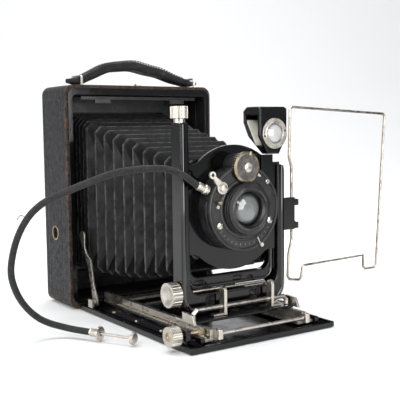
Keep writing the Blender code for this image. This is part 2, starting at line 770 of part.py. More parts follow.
def wire_finder():
    """The open wire frame that is held beside the standard, and the bracket that it turns in."""
    left, right, low, high = 55.0, 143.5, 22.5, 137.5
    path = [
        (WIRE_HINGE_X, 98.5), (left - 1.0, 104.5), (left, high - 1.5), (left + 1.5, high),
        (right - 1.5, high - 4.4), (right, high - 6.0), (right - 7.5, low + 2.2), (right - 9.5, low),
        (right - 18.5, low), (right - 20.3, low + 1.8), (right - 20.6, low + 10.0), (left + 12.0, low + 8.8),
        (left + 10.6, low + 7.4), (left + 9.6, low + 1.0), (left + 7.6, low - 0.6), (left - 0.8, low + 0.6),
        (left - 2.3, low + 3.0), (left - 1.6, 40.0), (WIRE_HINGE_X, 49.5),
    ]
    frame = wire("wire_finder_frame", [(x, WIRE_Y, z) for x, z in path], WIRE_RADIUS, NICKEL, closed=True)
    bracket = block("wire_finder_bracket", (FRAME_HALF + GAP, -104.0, 57.5), (54.4, -101.8, 78.5), LACQUER)
    for z in (59.8, 75.0):
        add_block(bracket, (52.0, -103.0, z - 2.0), (WIRE_HINGE_X + 2.6, WIRE_Y + 2.4, z + 2.0))
    cut_rod(bracket, (WIRE_HINGE_X, WIRE_Y, 50), (WIRE_HINGE_X, WIRE_Y, 90), WIRE_RADIUS + 0.4, 16)
    return frame, bracket


# The bellows


def bellows_ring(y, half, low, high, cut):
    return [
        (half, y, low + cut), (half, y, high - cut), (half - cut, y, high), (-half + cut, y, high),
        (-half, y, high - cut), (-half, y, low + cut), (-half + cut, y, low), (half - cut, y, low),
    ]


def bellows():
    """A tapered, pleated tube between the lens board and the back of the body, made of rings of eight corners."""
    folds, front, rear = 12, -100.6, 36.6
    rings = [bellows_ring(-103.9, 28.0, 47.5, 102.5, 6.0), bellows_ring(front, 27.6, 47.5, 101.0, 6.0)]
    for i in range(2 * folds + 1):
        t = (i + 0.5) / (2 * folds + 1)
        y = front + (rear - front) * t
        ridge = i % 2 == 0
        pinch = 0.0 if ridge else 4.2
        half = 34.5 + (46.0 - 34.5) * t - pinch
        low = 24.0 + 14.0 * (1.0 - t) ** 3 + pinch
        high = 104.0 + (136.0 - 104.0) * t - pinch
        rings.append(bellows_ring(y, half, low, high, 10.0 + 4.0 * t - pinch * 0.4))
    rings.append(bellows_ring(BODY_DEPTH - 0.4, 44.0, 24.0, 135.0, 12.0))
    mesh = bpy.data.meshes.new("bellows")
    points = [Vector(p) * MM for ring in rings for p in ring]
    faces = []
    for r in range(len(rings) - 1):
        for k in range(8):
            a, b = r * 8 + k, r * 8 + (k + 1) % 8
            faces.append((a, b, b + 8, a + 8))
    mesh.from_pydata(points, [], faces)
    made = link("bellows", mesh, BELLOWS_LEATHER)
    thick = made.modifiers.new("thickness", "SOLIDIFY")
    thick.thickness = 0.7 * MM
    thick.offset = 0.0
    return made


# The cable release

CABLE_ROUTE = [
    (-39.0, -117.0, 96.5), (-44.0, -116.5, 99.0), (-51.5, -115.5, 101.5), (-60.5, -113.5, 102.0),
    (-70.5, -110.5, 101.5), (-81.0, -106.0, 99.5), (-91.0, -100.5, 95.5), (-101.0, -94.5, 91.0),
    (-109.5, -88.5, 86.5), (-115.5, -84.0, 82.0), (-120.5, -79.0, 75.0), (-124.5, -74.0, 64.5),
    (-126.5, -69.5, 52.0), (-126.0, -66.0, 41.0), (-121.5, -62.5, 29.5), (-115.0, -60.0, 20.0),
    (-107.5, -58.5, 12.8), (-101.0, -59.5, 8.8), (-95.0, -62.5, 6.5), (-89.4, -68.0, 5.0),
]
COLLAR = Vector((-81.4, -82.4, 4.5))
BUTTON = Vector((-69.3, -105.4, 4.2))


def smooth(route, spacing):
    """Points at an even spacing along a smooth curve through the route's own points."""
    fine = []
    pads = [route[0] * 2 - route[1], *route, route[-1] * 2 - route[-2]]
    for before, a, b, after in zip(pads, pads[1:], pads[2:], pads[3:]):
        fine += interpolate_bezier(a, a + (b - before) / 6, b - (after - a) / 6, b, 24)[:-1]
    fine.append(route[-1])
    run, line = 0.0, [fine[0]]
    for a, b in zip(fine, fine[1:]):
        run += (b - a).length
        if run >= spacing:
            line.append(b)
            run = 0.0
    if run > spacing / 2:
        line.append(route[-1])
    else:
        line[-1] = route[-1]
    return line


def cable_release():
    out = Vector((cos(FERRULE_ANGLE), 0, sin(FERRULE_ANGLE)))
    centre = Vector((0, FERRULE_Y, LENS_Z))
    foot = centre + out * (SHUTTER_RADIUS + GAP)
    ferrule = turned(
        "cable_ferrule",
        [(0, 8.6), (2.3, 8.6), (2.6, 7.6), (2.6, 4.2), (2.1, 3.6), (2.9, 3.0), (2.9, 0.6), (1.8, 0), (0, 0)],
        foot,
        out,
        NICKEL,
        24,
    )
    axis = (BUTTON - COLLAR).normalized()
    start = foot + out * (8.6 + GAP)
    end = COLLAR - axis * (3.6 + GAP)
    route = [start, *(Vector(p) for p in CABLE_ROUTE), end]
    cable = tube("release_cable", smooth(route, 6.0), CABLE_RADIUS, CLOTH)
    collar = turned(
        "release_collar",
        [
            (0, -3.0), (1.25, -3.0), (1.25, 3.5), (1.7, 3.6), (4.2, 3.4), (4.2, 2.2), (2.6, 1.4), (2.2, -3.0),
            (2.4, -3.6), (0, -3.6),
        ],
        COLLAR,
        axis,
        NICKEL,
        28,
    )
    length = (BUTTON - COLLAR).length
    plunger = turned(
        "release_plunger",
        [
            (0, length + 1.4), (3.0, length + 1.4), (3.7, length + 0.6), (3.7, length - 0.4), (1.6, length - 1.4),
            (0.9, length - 2.4), (0.9, 3.0), (0, 3.0),
        ],
        COLLAR,
        axis,
        NICKEL,
        24,
    )
    return ferrule, cable, collar, plunger


# The whole camera


def build():
    root = body("camera_body", (0, 0, 0))
    hold(camera_body() + carrying_strap() + bed(), root)
    button = rod("bed_catch_button", (1.5, 8, 149.0), (1.5, 8, 156.8), 2.5, NICKEL, 24)
    hold([button], body("catch", (1.5, 8, BODY_HEIGHT), root))

    fixed, slide, cover = camera_back()
    hold(fixed, root)
    back = body("focusing_back", (0, 48, 12), root)
    hold(slide, back)
    hold(cover, body("hood_cover", (0, 50.7, 141), back))

    for name, side in (("left", -1), ("right", 1)):
        blade, pivot = strut(side)
        hold([pivot], root)
        hold([blade], body(f"strut_{name}", (side * 48.6, -17.0, 7.0), root))

    bearing, gear = pinion()
    hold(bearing, root)
    hold(gear, body("focus_drive", (-54, PINION_Y, PINION_Z), root))

    rails = body("track", (0, TRACK_FRONT, TRACK_BOTTOM), root)
    hold(track(), rails)
    slider = body("carriage", (0, CARRIAGE_REAR, CARRIAGE_TOP), rails)
    hold(carriage(), slider)
    for name, x, outwards in (("left", -13.6, -1), ("right", 22.6, 1)):
        lever = pinch_lever(f"pinch_lever_{name}", x, outwards)
        hold([lever], body(f"pinch_{name}", (x, BAR_Y, BAR_Z), slider))

    frames, shifting, lifting = standard()
    shifter = body("standard", (0, SCREW_Y, SHIFT_Z), slider)
    hold(frames, shifter)
    hold(shifting, body("shift_drive", (-40, SCREW_Y, SHIFT_Z), shifter))
    hold(lifting, body("rise_drive", (RISE_X, SCREW_Y, 130), shifter))
    sight, bracket = wire_finder()
    hold([bracket], shifter)
    hold([sight], body("wire_finder", (WIRE_HINGE_X, WIRE_Y, 67), shifter))

    panel = body("lens", (0, BOARD_BACK, LENS_Z), shifter)
    board, front_frame, housing, dial = lens_board()
    folds = bellows()
    ferrule, cable, collar, plunger = cable_release()
    finder, ring = reflex_finder()
    hold([board, front_frame, housing, *optics(), folds, ferrule, cable, collar], panel)
    hold([dial], body("dial", (0, SHUTTER_FRONT, DIAL_Z), panel))
    cocking, aperture = levers()
    hold([cocking], body("cocking", (-17.0, SHUTTER_FRONT, 89.2), panel))
    hold([aperture], body("aperture", (0, SHUTTER_FRONT, LENS_Z), panel))
    hold([finder, ring], body("finder", (FINDER_PIVOT_X, FINDER_FRONT, FINDER_PIVOT_Z), panel))
    hold([plunger], body("plunger", COLLAR, panel))


build()
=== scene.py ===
"""The looks of a folding plate camera: its camera view, its soft pieces, its small parts and its materials.

Lengths are in metres. The lens looks along -Y and +Z is up, as in the CAD frame.
"""

import json
from math import cos, pi, radians, sin

import bpy
from mathutils import Matrix, Vector
from mathutils.geometry import interpolate_bezier


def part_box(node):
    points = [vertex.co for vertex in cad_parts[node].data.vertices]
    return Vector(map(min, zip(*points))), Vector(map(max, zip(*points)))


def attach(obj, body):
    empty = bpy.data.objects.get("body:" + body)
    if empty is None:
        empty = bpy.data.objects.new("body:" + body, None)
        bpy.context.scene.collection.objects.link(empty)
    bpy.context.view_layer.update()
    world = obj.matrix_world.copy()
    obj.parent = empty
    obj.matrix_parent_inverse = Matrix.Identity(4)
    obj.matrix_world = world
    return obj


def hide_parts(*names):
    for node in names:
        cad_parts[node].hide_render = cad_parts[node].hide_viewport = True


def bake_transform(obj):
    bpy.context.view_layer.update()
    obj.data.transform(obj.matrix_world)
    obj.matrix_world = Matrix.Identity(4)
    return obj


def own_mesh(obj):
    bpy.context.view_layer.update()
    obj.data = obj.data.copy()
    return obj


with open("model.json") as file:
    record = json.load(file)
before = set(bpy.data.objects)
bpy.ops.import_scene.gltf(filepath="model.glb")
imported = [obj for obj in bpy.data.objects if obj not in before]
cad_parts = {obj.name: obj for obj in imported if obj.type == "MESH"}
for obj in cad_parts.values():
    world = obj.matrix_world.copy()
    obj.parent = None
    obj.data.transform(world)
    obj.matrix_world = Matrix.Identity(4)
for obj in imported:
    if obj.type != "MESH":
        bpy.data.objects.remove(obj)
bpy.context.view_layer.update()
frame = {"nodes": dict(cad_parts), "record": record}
nodes = frame["nodes"]
MM = 0.001


# The camera

AZIMUTH = radians(-33.998)
ELEVATION = radians(5.196)
ROLL = radians(-0.693)
DISTANCE = 0.602648
TARGET = Vector((0.049482, 0.0, 0.069796))
FOCAL_LENGTH = 71.178


def add_camera():
    back = Vector((sin(AZIMUTH) * cos(ELEVATION), -cos(AZIMUTH) * cos(ELEVATION), sin(ELEVATION)))
    level = Vector((cos(AZIMUTH), sin(AZIMUTH), 0))
    upright = back.cross(level)
    right = level * cos(ROLL) + upright * sin(ROLL)
    up = upright * cos(ROLL) - level * sin(ROLL)
    camera = bpy.data.objects.new("camera", bpy.data.cameras.new("camera"))
    camera.data.sensor_width = 36.0
    camera.data.lens = FOCAL_LENGTH
    camera.data.clip_start = 0.01
    turn = Matrix((right, up, back)).transposed().to_4x4()
    camera.matrix_world = Matrix.Translation(TARGET + back * DISTANCE) @ turn
    bpy.context.scene.collection.objects.link(camera)
    bpy.context.scene.camera = camera


add_camera()


# Materials


SOCKETS = {
    "specular": "Specular IOR Level",
    "coat": "Coat Weight",
    "coat_roughness": "Coat Roughness",
    "sheen": "Sheen Weight",
    "sheen_roughness": "Sheen Roughness",
    "transmission": "Transmission Weight",
}


class Finish:
    """A Principled material, with the procedural textures that it is made of."""

    def __init__(self, name, colour, roughness, metallic=0.0, **extra):
        self.material = bpy.data.materials.new(name)
        self.material.use_nodes = True
        self.tree = self.material.node_tree
        self.shader = self.tree.nodes["Principled BSDF"]
        plain = {"Base Color": (*colour, 1.0), "Roughness": roughness, "Metallic": metallic}
        plain |= {SOCKETS[key]: value for key, value in extra.items()}
        for key, value in plain.items():
            self.shader.inputs[key].default_value = value
        self.place = self.add("ShaderNodeTexCoord").outputs["Object"]
        self.x, self.y, self.z = self.add("ShaderNodeSeparateXYZ", {0: self.place}).outputs

    def add(self, kind, feeds=None, **settings):
        node = self.tree.nodes.new(kind)
        for key, value in settings.items():
            setattr(node, key, value)
        for key, value in (feeds or {}).items():
            if isinstance(value, bpy.types.NodeSocket):
                self.tree.links.new(value, node.inputs[key])
            else:
                node.inputs[key].default_value = value
        return node

    def noise(self, scale, detail=3.0, stretch=(1, 1, 1), distortion=0.0):
        place = self.add("ShaderNodeMapping", {"Vector": self.place, "Scale": stretch}).outputs[0]
        feeds = {"Vector": place, "Scale": scale, "Detail": detail, "Distortion": distortion}
        return self.add("ShaderNodeTexNoise", feeds).outputs[0]

    def cells(self, scale, feature="F1"):
        feeds = {"Vector": self.place, "Scale": scale}
        return self.add("ShaderNodeTexVoronoi", feeds, feature=feature).outputs["Distance"]

    def calc(self, operation, *values):
        return self.add("ShaderNodeMath", dict(enumerate(values)), operation=operation).outputs[0]

    def ramp(self, value, low, high, start=0.0, end=1.0):
        feeds = {0: value, 1: low, 2: high, 3: start, 4: end}
        return self.add("ShaderNodeMapRange", feeds, interpolation_type="SMOOTHSTEP").outputs[0]

    def mix(self, share, first, second):
        feeds = {0: share}
        for key, value in ((6, first), (7, second)):
            feeds[key] = value if isinstance(value, bpy.types.NodeSocket) else (*value, 1.0)
        return self.add("ShaderNodeMix", feeds, data_type="RGBA").outputs[2]

    def soft_normal(self, radius):
        """The surface's normal with its sharp edges eased."""
        return self.add("ShaderNodeBevel", {"Radius": radius}, samples=6).outputs[0]

    def edges(self, radius, width=0.25):
        """1 along the sharp edges and 0 on the flats."""
        flat = self.add("ShaderNodeNewGeometry").outputs["Normal"]
        feeds = {0: self.soft_normal(radius), 1: flat}
        turn = self.add("ShaderNodeVectorMath", feeds, operation="DOT_PRODUCT").outputs["Value"]
        return self.ramp(turn, 0.995, 1.0 - width)

    def colour(self, value):
        self.tree.links.new(value, self.shader.inputs["Base Color"])

    def roughness(self, value):
        self.tree.links.new(value, self.shader.inputs["Roughness"])

    def metallic(self, value):
        self.tree.links.new(value, self.shader.inputs["Metallic"])

    def relief(self, height, depth, strength=1.0, ease=0.0):
        """Bumps of a depth in metres, on edges eased by a radius."""
        feeds = {"Height": height, "Distance": depth, "Strength": strength}
        if ease:
            feeds["Normal"] = self.soft_normal(ease)
        bump = self.add("ShaderNodeBump", feeds).outputs[0]
        self.tree.links.new(bump, self.shader.inputs["Normal"])


BROWN = (0.085, 0.042, 0.022)
STEEL_GREY = (0.23, 0.22, 0.20)


def grained_leather():
    """Pebbled black leather with a pressed line on its sides, worn brown at its front edge and corners."""
    low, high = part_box("body_shell")
    made = Finish("grained_leather", (0.04, 0.041, 0.043), 0.62, specular=0.3)
    pebbles = made.cells(820, "SMOOTH_F1")
    fine = made.noise(2600, 2)
    patches = made.noise(42, 4)
    grain = made.mix(made.ramp(pebbles, 0.12, 0.55), (0.034, 0.034, 0.036), (0.009, 0.009, 0.010))
    dusty = made.mix(made.ramp(patches, 0.42, 0.75, 0.0, 0.25), grain, (0.05, 0.05, 0.052))

    front = made.ramp(made.y, low[1] + 7 * MM, low[1] + 0.5 * MM)
    nearer = made.calc("MULTIPLY", front, 0.16)
    scuffed = made.ramp(made.calc("ADD", made.noise(330, 5), nearer), 0.60, 0.74)
    from_middle = made.calc("ABSOLUTE", made.calc("SUBTRACT", made.z, (low[2] + high[2]) / 2))
    corner = made.ramp(from_middle, (high[2] - low[2]) / 2 - 11 * MM, (high[2] - low[2]) / 2 - 2 * MM)
    cornered = made.calc("MULTIPLY", corner, made.ramp(made.noise(150, 4), 0.50, 0.66))
    worn = made.calc("MAXIMUM", made.calc("MULTIPLY", front, scuffed), made.calc("MULTIPLY", cornered, 0.8))
    outside = made.mix(worn, dusty, BROWN)

    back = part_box("focusing_back_frame")[0][1]
    half = high[0] - 4.6 * MM
    across = made.calc("LESS_THAN", made.calc("ABSOLUTE", made.x), half)
    along = made.calc("LESS_THAN", from_middle, (high[2] - low[2]) / 2 - 4.8 * MM)
    within = made.calc("MULTIPLY", across, along)
    inside = made.calc("MULTIPLY", within, made.calc("LESS_THAN", made.y, back))
    made.colour(made.mix(inside, outside, (0.006, 0.006, 0.006)))
    made.roughness(made.ramp(made.noise(300, 3), 0.3, 0.7, 0.5, 0.74))

    middle = ((low[1] + high[1]) / 2 + 3 * MM, (low[2] + high[2]) / 2)
    reach = (12 * MM, 67 * MM)
    deep = made.calc("SUBTRACT", made.calc("ABSOLUTE", made.calc("SUBTRACT", made.y, middle[0])), reach[0])
    tall = made.calc("SUBTRACT", made.calc("ABSOLUTE", made.calc("SUBTRACT", made.z, middle[1])), reach[1])
    line = made.calc("ABSOLUTE", made.calc("SMOOTH_MAX", deep, tall, 5 * MM))
    groove = made.ramp(line, 0.3 * MM, 1.1 * MM)
    height = made.calc("ADD", made.calc("MULTIPLY", pebbles, -0.55), made.calc("MULTIPLY", fine, 0.2))
    made.relief(made.calc("ADD", height, made.calc("MULTIPLY", groove, 1.6)), 0.45 * MM, 0.8, ease=0.9 * MM)
    return made.material


def strap_leather():
    """Smooth black leather that has cracked across and greyed at its edges."""
    made = Finish("strap_leather", (0.01, 0.01, 0.011), 0.5, specular=0.3)
    cracks = made.cells(420, "DISTANCE_TO_EDGE")
    wear_and_highlight = made.ramp(made.noise(180, 5), 0.5, 0.78)
    tone = made.mix(wear_and_highlight, (0.007, 0.007, 0.008), (0.035, 0.034, 0.034))
    made.colour(made.mix(made.calc("MULTIPLY", made.edges(0.8 * MM), 0.6), tone, (0.06, 0.05, 0.045)))
    made.roughness(made.ramp(made.noise(240, 3), 0.3, 0.7, 0.45, 0.7))
    height = made.calc("ADD", made.ramp(cracks, 0.0, 0.12), made.noise(1800, 3))
    made.relief(height, 0.16 * MM, 0.6)
    return made.material


def bellows_leather():
    """Thin matt leather, with painted shade darkening its folds and a patchy painted highlight greying its
    ridges.
    """
    made = Finish("bellows_leather", (0.006, 0.006, 0.006), 0.6, specular=0.25)
    grain = made.cells(1500, "SMOOTH_F1")
    fold = made.add("ShaderNodeAttribute", attribute_name="fold").outputs["Fac"]
    patches = made.ramp(made.noise(260, 4), 0.36, 0.62, 0.15, 1.0)
    # Painted highlight: the ridges greyed in patches, as if light catches them.
    wear_and_highlight = made.calc("MULTIPLY", made.ramp(fold, 0.90, 0.99), patches)
    # Painted shade: the valleys of the folds darker than the ridges.
    depth = made.mix(made.ramp(fold, 0.1, 0.9), (0.001, 0.001, 0.001), (0.006, 0.006, 0.0065))
    tone = made.mix(made.ramp(made.noise(60, 4), 0.4, 0.7, 0.0, 0.5), depth, (0.009, 0.009, 0.009))
    made.colour(made.mix(made.calc("MULTIPLY", wear_and_highlight, 0.55), tone, (0.14, 0.14, 0.14)))
    made.roughness(made.ramp(made.noise(180, 3), 0.3, 0.7, 0.5, 0.76))
    made.relief(made.calc("ADD", grain, made.noise(900, 4)), 0.22 * MM, 0.5)
    return made.material


def lacquer(name, rough, ease, coat=0.15):
    """Glossy black stove enamel with dust, hairline scratches, bright worn edges and eased corners."""
    made = Finish(name, (0.005, 0.005, 0.006), 0.16, specular=0.36, coat=coat, coat_roughness=0.05)
    dust = made.ramp(made.noise(1400, 5), 0.70, 0.82)
    haze = made.ramp(made.noise(55, 4), 0.4, 0.72)
    tone = made.mix(haze, (0.0022, 0.0022, 0.0028), (0.005, 0.005, 0.006))
    speckled = made.mix(made.calc("MULTIPLY", dust, 0.35), tone, (0.16, 0.15, 0.14))
    chipped = made.calc("MULTIPLY", made.edges(0.45 * MM), made.ramp(made.noise(190, 5), 0.56, 0.70))
    made.colour(made.mix(made.calc("MULTIPLY", chipped, 0.7), speckled, STEEL_GREY))
    made.metallic(made.calc("MULTIPLY", chipped, 0.7))
    made.roughness(made.ramp(made.noise(130, 4), 0.35, 0.8, rough, rough * 2.4))
    scratches = made.noise(700, 2, stretch=(1, 0.05, 0.3))
    made.relief(scratches, 0.05 * MM, 0.25, ease=ease)
    return made.material


def nickel():
    """Nickel plate, bright but spotted, with tarnish that has crept in from the edges."""
    made = Finish("nickel_plate", (0.56, 0.53, 0.47), 0.3, metallic=1.0)
    spots = made.ramp(made.cells(300), 0.16, 0.06)
    stains = made.ramp(made.noise(95, 5, distortion=0.4), 0.55, 0.78)
    clean = made.mix(made.noise(40, 3), (0.62, 0.585, 0.53), (0.50, 0.47, 0.415))
    stained = made.mix(made.calc("MULTIPLY", stains, 0.3), clean, (0.36, 0.29, 0.21))
    pitted = made.calc("MULTIPLY", spots, made.ramp(made.noise(80, 2), 0.56, 0.66))
    made.colour(made.mix(made.calc("MULTIPLY", pitted, 0.35), stained, (0.2, 0.14, 0.09)))
    made.roughness(made.ramp(made.noise(210, 5), 0.3, 0.72, 0.24, 0.44))
    made.relief(made.noise(900, 4, stretch=(1, 0.12, 1)), 0.06 * MM, 0.3, ease=0.1 * MM)
    return made.material


def tarnished_steel():
    """Thin steel that has gone brown and dark, with a little plate left on it."""
    made = Finish("tarnished_steel", (0.34, 0.31, 0.26), 0.36, metallic=1.0)
    rust = made.ramp(made.noise(210, 6), 0.46, 0.68)
    tone = made.mix(made.noise(70, 3), (0.52, 0.49, 0.43), (0.30, 0.27, 0.22))
    made.colour(made.mix(made.calc("MULTIPLY", rust, 0.8), tone, (0.13, 0.08, 0.05)))
    made.roughness(made.ramp(made.noise(260, 4), 0.3, 0.7, 0.24, 0.55))
    made.relief(made.noise(1200, 4), 0.06 * MM, 0.4)
    return made.material


def brass():
    """Old brass, brown in its hollows and yellow where it is touched."""
    made = Finish("aged_brass", (0.22, 0.15, 0.09), 0.4, metallic=1.0)
    dull = made.ramp(made.noise(160, 5), 0.4, 0.7)
    tone = made.mix(dull, (0.44, 0.37, 0.27), (0.20, 0.15, 0.10))
    made.colour(made.mix(made.edges(0.4 * MM), tone, (0.62, 0.55, 0.43)))
    made.roughness(made.ramp(made.noise(240, 4), 0.3, 0.7, 0.24, 0.52))
    made.relief(made.noise(1500, 3), 0.06 * MM, 0.3, ease=0.25 * MM)
    return made.material


def shutter_enamel():
    """Satin black enamel, greyed by dust, with brass showing on its rims."""
    made = Finish("shutter_enamel", (0.02, 0.02, 0.021), 0.36, specular=0.5)
    haze = made.ramp(made.noise(120, 4), 0.38, 0.7)
    tone = made.mix(haze, (0.008, 0.008, 0.009), (0.026, 0.025, 0.025))
    chipped = made.calc("MULTIPLY", made.edges(0.35 * MM), made.ramp(made.noise(260, 4), 0.54, 0.68))
    made.colour(made.mix(made.calc("MULTIPLY", chipped, 0.6), tone, (0.26, 0.22, 0.16)))
    made.metallic(made.calc("MULTIPLY", chipped, 0.6))
    made.roughness(made.ramp(made.noise(150, 4), 0.3, 0.7, 0.26, 0.5))
    made.relief(made.noise(2400, 3), 0.05 * MM, 0.4, ease=0.3 * MM)
    return made.material


def woven_cover():
    """The cable's cotton braid."""
    made = Finish("woven_cover", (0.02, 0.02, 0.02), 0.86, sheen=0.08, sheen_roughness=0.5)
    strands = made.cells(1250, "DISTANCE_TO_EDGE")
    tone = made.mix(made.ramp(strands, 0.02, 0.3), (0.004, 0.004, 0.004), (0.022, 0.022, 0.023))
    faded = made.ramp(made.noise(140, 4), 0.48, 0.75)
    made.colour(made.mix(made.calc("MULTIPLY", faded, 0.4), tone, (0.05, 0.046, 0.042)))
    made.roughness(made.ramp(made.noise(500, 3), 0.3, 0.7, 0.76, 0.94))
    made.relief(made.calc("ADD", strands, made.noise(3200, 3)), 0.3 * MM, 0.8)
    return made.material


def pale_glass(name, colour, rim_colour, centre, radius, transmission):
    """Coated glass with a pale colour that darkens towards its rim as painted shade."""
    made = Finish(name, colour, 0.04, coat=1.0, coat_roughness=0.02, transmission=transmission)
    across = made.calc("SUBTRACT", made.x, centre[0])
    along = made.calc("SUBTRACT", made.z, centre[2])
    square = made.calc("ADD", made.calc("POWER", across, 2.0), made.calc("POWER", along, 2.0))
    away = made.calc("SQRT", square)
    smears = made.calc("MULTIPLY", made.noise(210, 4), 0.25)
    # Painted shade: the glass darker towards its rim.
    rim = made.ramp(away, radius * 0.62, radius)
    made.colour(made.mix(made.calc("ADD", rim, smears), colour, rim_colour))
    made.roughness(made.ramp(made.noise(120, 4), 0.4, 0.8, 0.03, 0.12))
    made.relief(made.noise(60, 2), 0.02 * MM, 0.1)
    return made.material


def dial_enamel():
    """The speed dial's grey-brown face."""
    made = Finish("dial_face", (0.12, 0.11, 0.10), 0.42, metallic=0.3)
    tone = made.mix(made.ramp(made.noise(380, 5), 0.35, 0.7), (0.07, 0.065, 0.06), (0.17, 0.155, 0.14))
    made.colour(made.mix(made.edges(0.2 * MM), tone, (0.3, 0.27, 0.22)))
    made.roughness(made.ramp(made.noise(420, 3), 0.3, 0.7, 0.32, 0.56))
    made.relief(made.noise(1900, 3), 0.05 * MM, 0.4)
    return made.material


def ivory_paint():
    """The pale filling of engraved marks."""
    made = Finish("ivory_marks", (0.62, 0.60, 0.54), 0.6)
    made.colour(made.mix(made.noise(900, 4), (0.42, 0.40, 0.36), (0.20, 0.19, 0.17)))
    made.roughness(made.ramp(made.noise(700, 2), 0.3, 0.7, 0.5, 0.7))
    made.relief(made.noise(2500, 2), 0.03 * MM, 0.3)
    return made.material


def painted_mirror_reflection():
    """The finder's old mirror, in a cream colour that is a painted reflection of a pale room."""
    made = Finish("finder_mirror", (0.80, 0.77, 0.68), 0.3)
    made.colour(made.mix(made.ramp(made.noise(160, 4), 0.4, 0.7), (0.88, 0.85, 0.76), (0.66, 0.62, 0.52)))
    made.roughness(made.ramp(made.noise(200, 3), 0.3, 0.7, 0.14, 0.34))
    made.relief(made.noise(300, 2), 0.03 * MM, 0.2)
    return made.material


barrel_low, barrel_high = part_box("lens_barrel")
FRAME_RIGHT_TOP = 100.4 * MM
LENS_AXIS = Vector(((barrel_low[0] + barrel_high[0]) / 2, 0, (barrel_low[2] + barrel_high[2]) / 2))
ring_low, ring_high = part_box("finder_lens_ring")
FINDER_AXIS = Vector(((ring_low[0] + ring_high[0]) / 2, 0, (ring_low[2] + ring_high[2]) / 2))

LEATHER = grained_leather()
STRAP = strap_leather()
BELLOWS = bellows_leather()
LACQUER = lacquer("black_lacquer", 0.07, 0.4 * MM)
BED_LACQUER = lacquer("bed_lacquer", 0.13, 0.4 * MM)
BEAD_LACQUER = lacquer("bead_lacquer", 0.06, 0.1 * MM, coat=1.0)
ROUND_LACQUER = lacquer("rounded_lacquer", 0.06, 1.7 * MM)
NICKEL = nickel()
BRASS = brass()
ENAMEL = shutter_enamel()
CLOTH = woven_cover()
OLD_STEEL = tarnished_steel()
# The pale colours of the lens and finder glass are painted light, for the reflections and brightness seen in
# them.
LENS_GLASS = pale_glass(
    "lens_glass", (0.34, 0.36, 0.35), (0.03, 0.035, 0.035), LENS_AXIS, radius=10 * MM, transmission=0.15
)
FINDER_GLASS = pale_glass(
    "finder_glass", (0.86, 0.87, 0.86), (0.35, 0.36, 0.36), FINDER_AXIS, radius=6.5 * MM, transmission=0.1
)
GROUND_GLASS = pale_glass(
    "ground_glass", (0.72, 0.75, 0.74), (0.62, 0.65, 0.64), LENS_AXIS, radius=70 * MM, transmission=0.3
)
DIAL_FACE = dial_enamel()
MARKS = ivory_paint()
MIRROR = painted_mirror_reflection()

SLOT_FINISH = {
    "leather": LEATHER,
    "strap_leather": STRAP,
    "bellows_leather": BELLOWS,
    "lacquer": LACQUER,
    "nickel": NICKEL,
    "brass": BRASS,
    "shutter_black": ENAMEL,
    "glass": LENS_GLASS,
    "cloth": CLOTH,
}


def ease(node, width):
    """Rounds a CAD node's sharp edges, so that they catch the light."""
    weld = node.modifiers.new("weld", "WELD")
    weld.merge_threshold = 0.01 * MM
    bevel = node.modifiers.new("ease", "BEVEL")
    bevel.width = width
    bevel.segments = 3
    bevel.limit_method = "ANGLE"
    bevel.angle_limit = radians(38)
    bevel.harden_normals = True


def dress_cad():
    """Each CAD node takes the material of its slot in the record, apart from a few that have their own."""
    finish = {part["node"]: SLOT_FINISH[part["material_slot"]] for part in frame["record"]["subparts"]}
    finish |= {"ground_glass": GROUND_GLASS, "door_latch_strip": ENAMEL, "wire_finder_frame": OLD_STEEL}
    for name in ("standard_frame", "standard_inner_frame", "finder_housing"):
        finish[name] = ROUND_LACQUER
    for name in ("bed_plate", "bed_rail_left", "bed_rail_right", "carriage_plate"):
        finish[name] = BED_LACQUER
    finish |= {"focus_rack": NICKEL, "pinion_bearing": LACQUER}
    for name, node in nodes.items():
        node.data.materials.clear()
        node.data.materials.append(finish[name])
    eased = {
        "standard_frame": 1.3, "standard_inner_frame": 0.9, "finder_housing": 1.4, "lens_board": 0.5,
        "bed_plate": 0.5, "wire_finder_bracket": 0.5, "shutter_housing": 0.5, "cocking_lever": 0.35,
        "finder_lens_ring": 0.3, "pinch_lever_left": 0.4, "pinch_lever_right": 0.4,
        "carriage_shoe_left": 0.4, "carriage_shoe_right": 0.4, "bed_strut_left": 0.3, "bed_strut_right": 0.3,
    }
    for name, width in eased.items():
        ease(nodes[name], width * MM)


# Meshes


def piece(name, points, faces, finish, body, smooth=False):
    """A mesh object that rides on a body."""
    mesh = bpy.data.meshes.new(name)
    mesh.from_pydata([tuple(p) for p in points], [], faces)
    mesh.materials.append(finish)
    if smooth:
        mesh.shade_smooth()
        mesh.set_sharp_from_angle(angle=radians(40))
    made = bpy.data.objects.new(name, mesh)
    bpy.context.scene.collection.objects.link(made)
    if body:
        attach(made, body)
    return made


def ring_faces(rings, size, closed=False):
    """Quads between rings of the same number of points."""
    pairs = [(r, (r + 1) % rings) for r in range(rings if closed else rings - 1)]
    return [(a * size + k, a * size + (k + 1) % size, b * size + (k + 1) % size, b * size + k)
            for a, b in pairs for k in range(size)]


def lathe(profile, origin, steps=48, start=0.0, end=2 * pi):
    """Points and faces of a profile, as (radius, distance in front of origin), turned about the Y axis."""
    whole = end - start > 2 * pi - 0.001
    turns = steps if whole else steps + 1
    points = []
    for i in range(turns):
        a = start + (end - start) * i / steps
        points += [Vector(origin) + Vector((r * cos(a), -h, r * sin(a))) for r, h in profile]
    size = len(profile)
    faces = ring_faces(turns, size, closed=whole)
    if not whole:
        faces += [tuple(range(size)), tuple(range((turns - 1) * size, turns * size))[::-1]]
    return points, faces


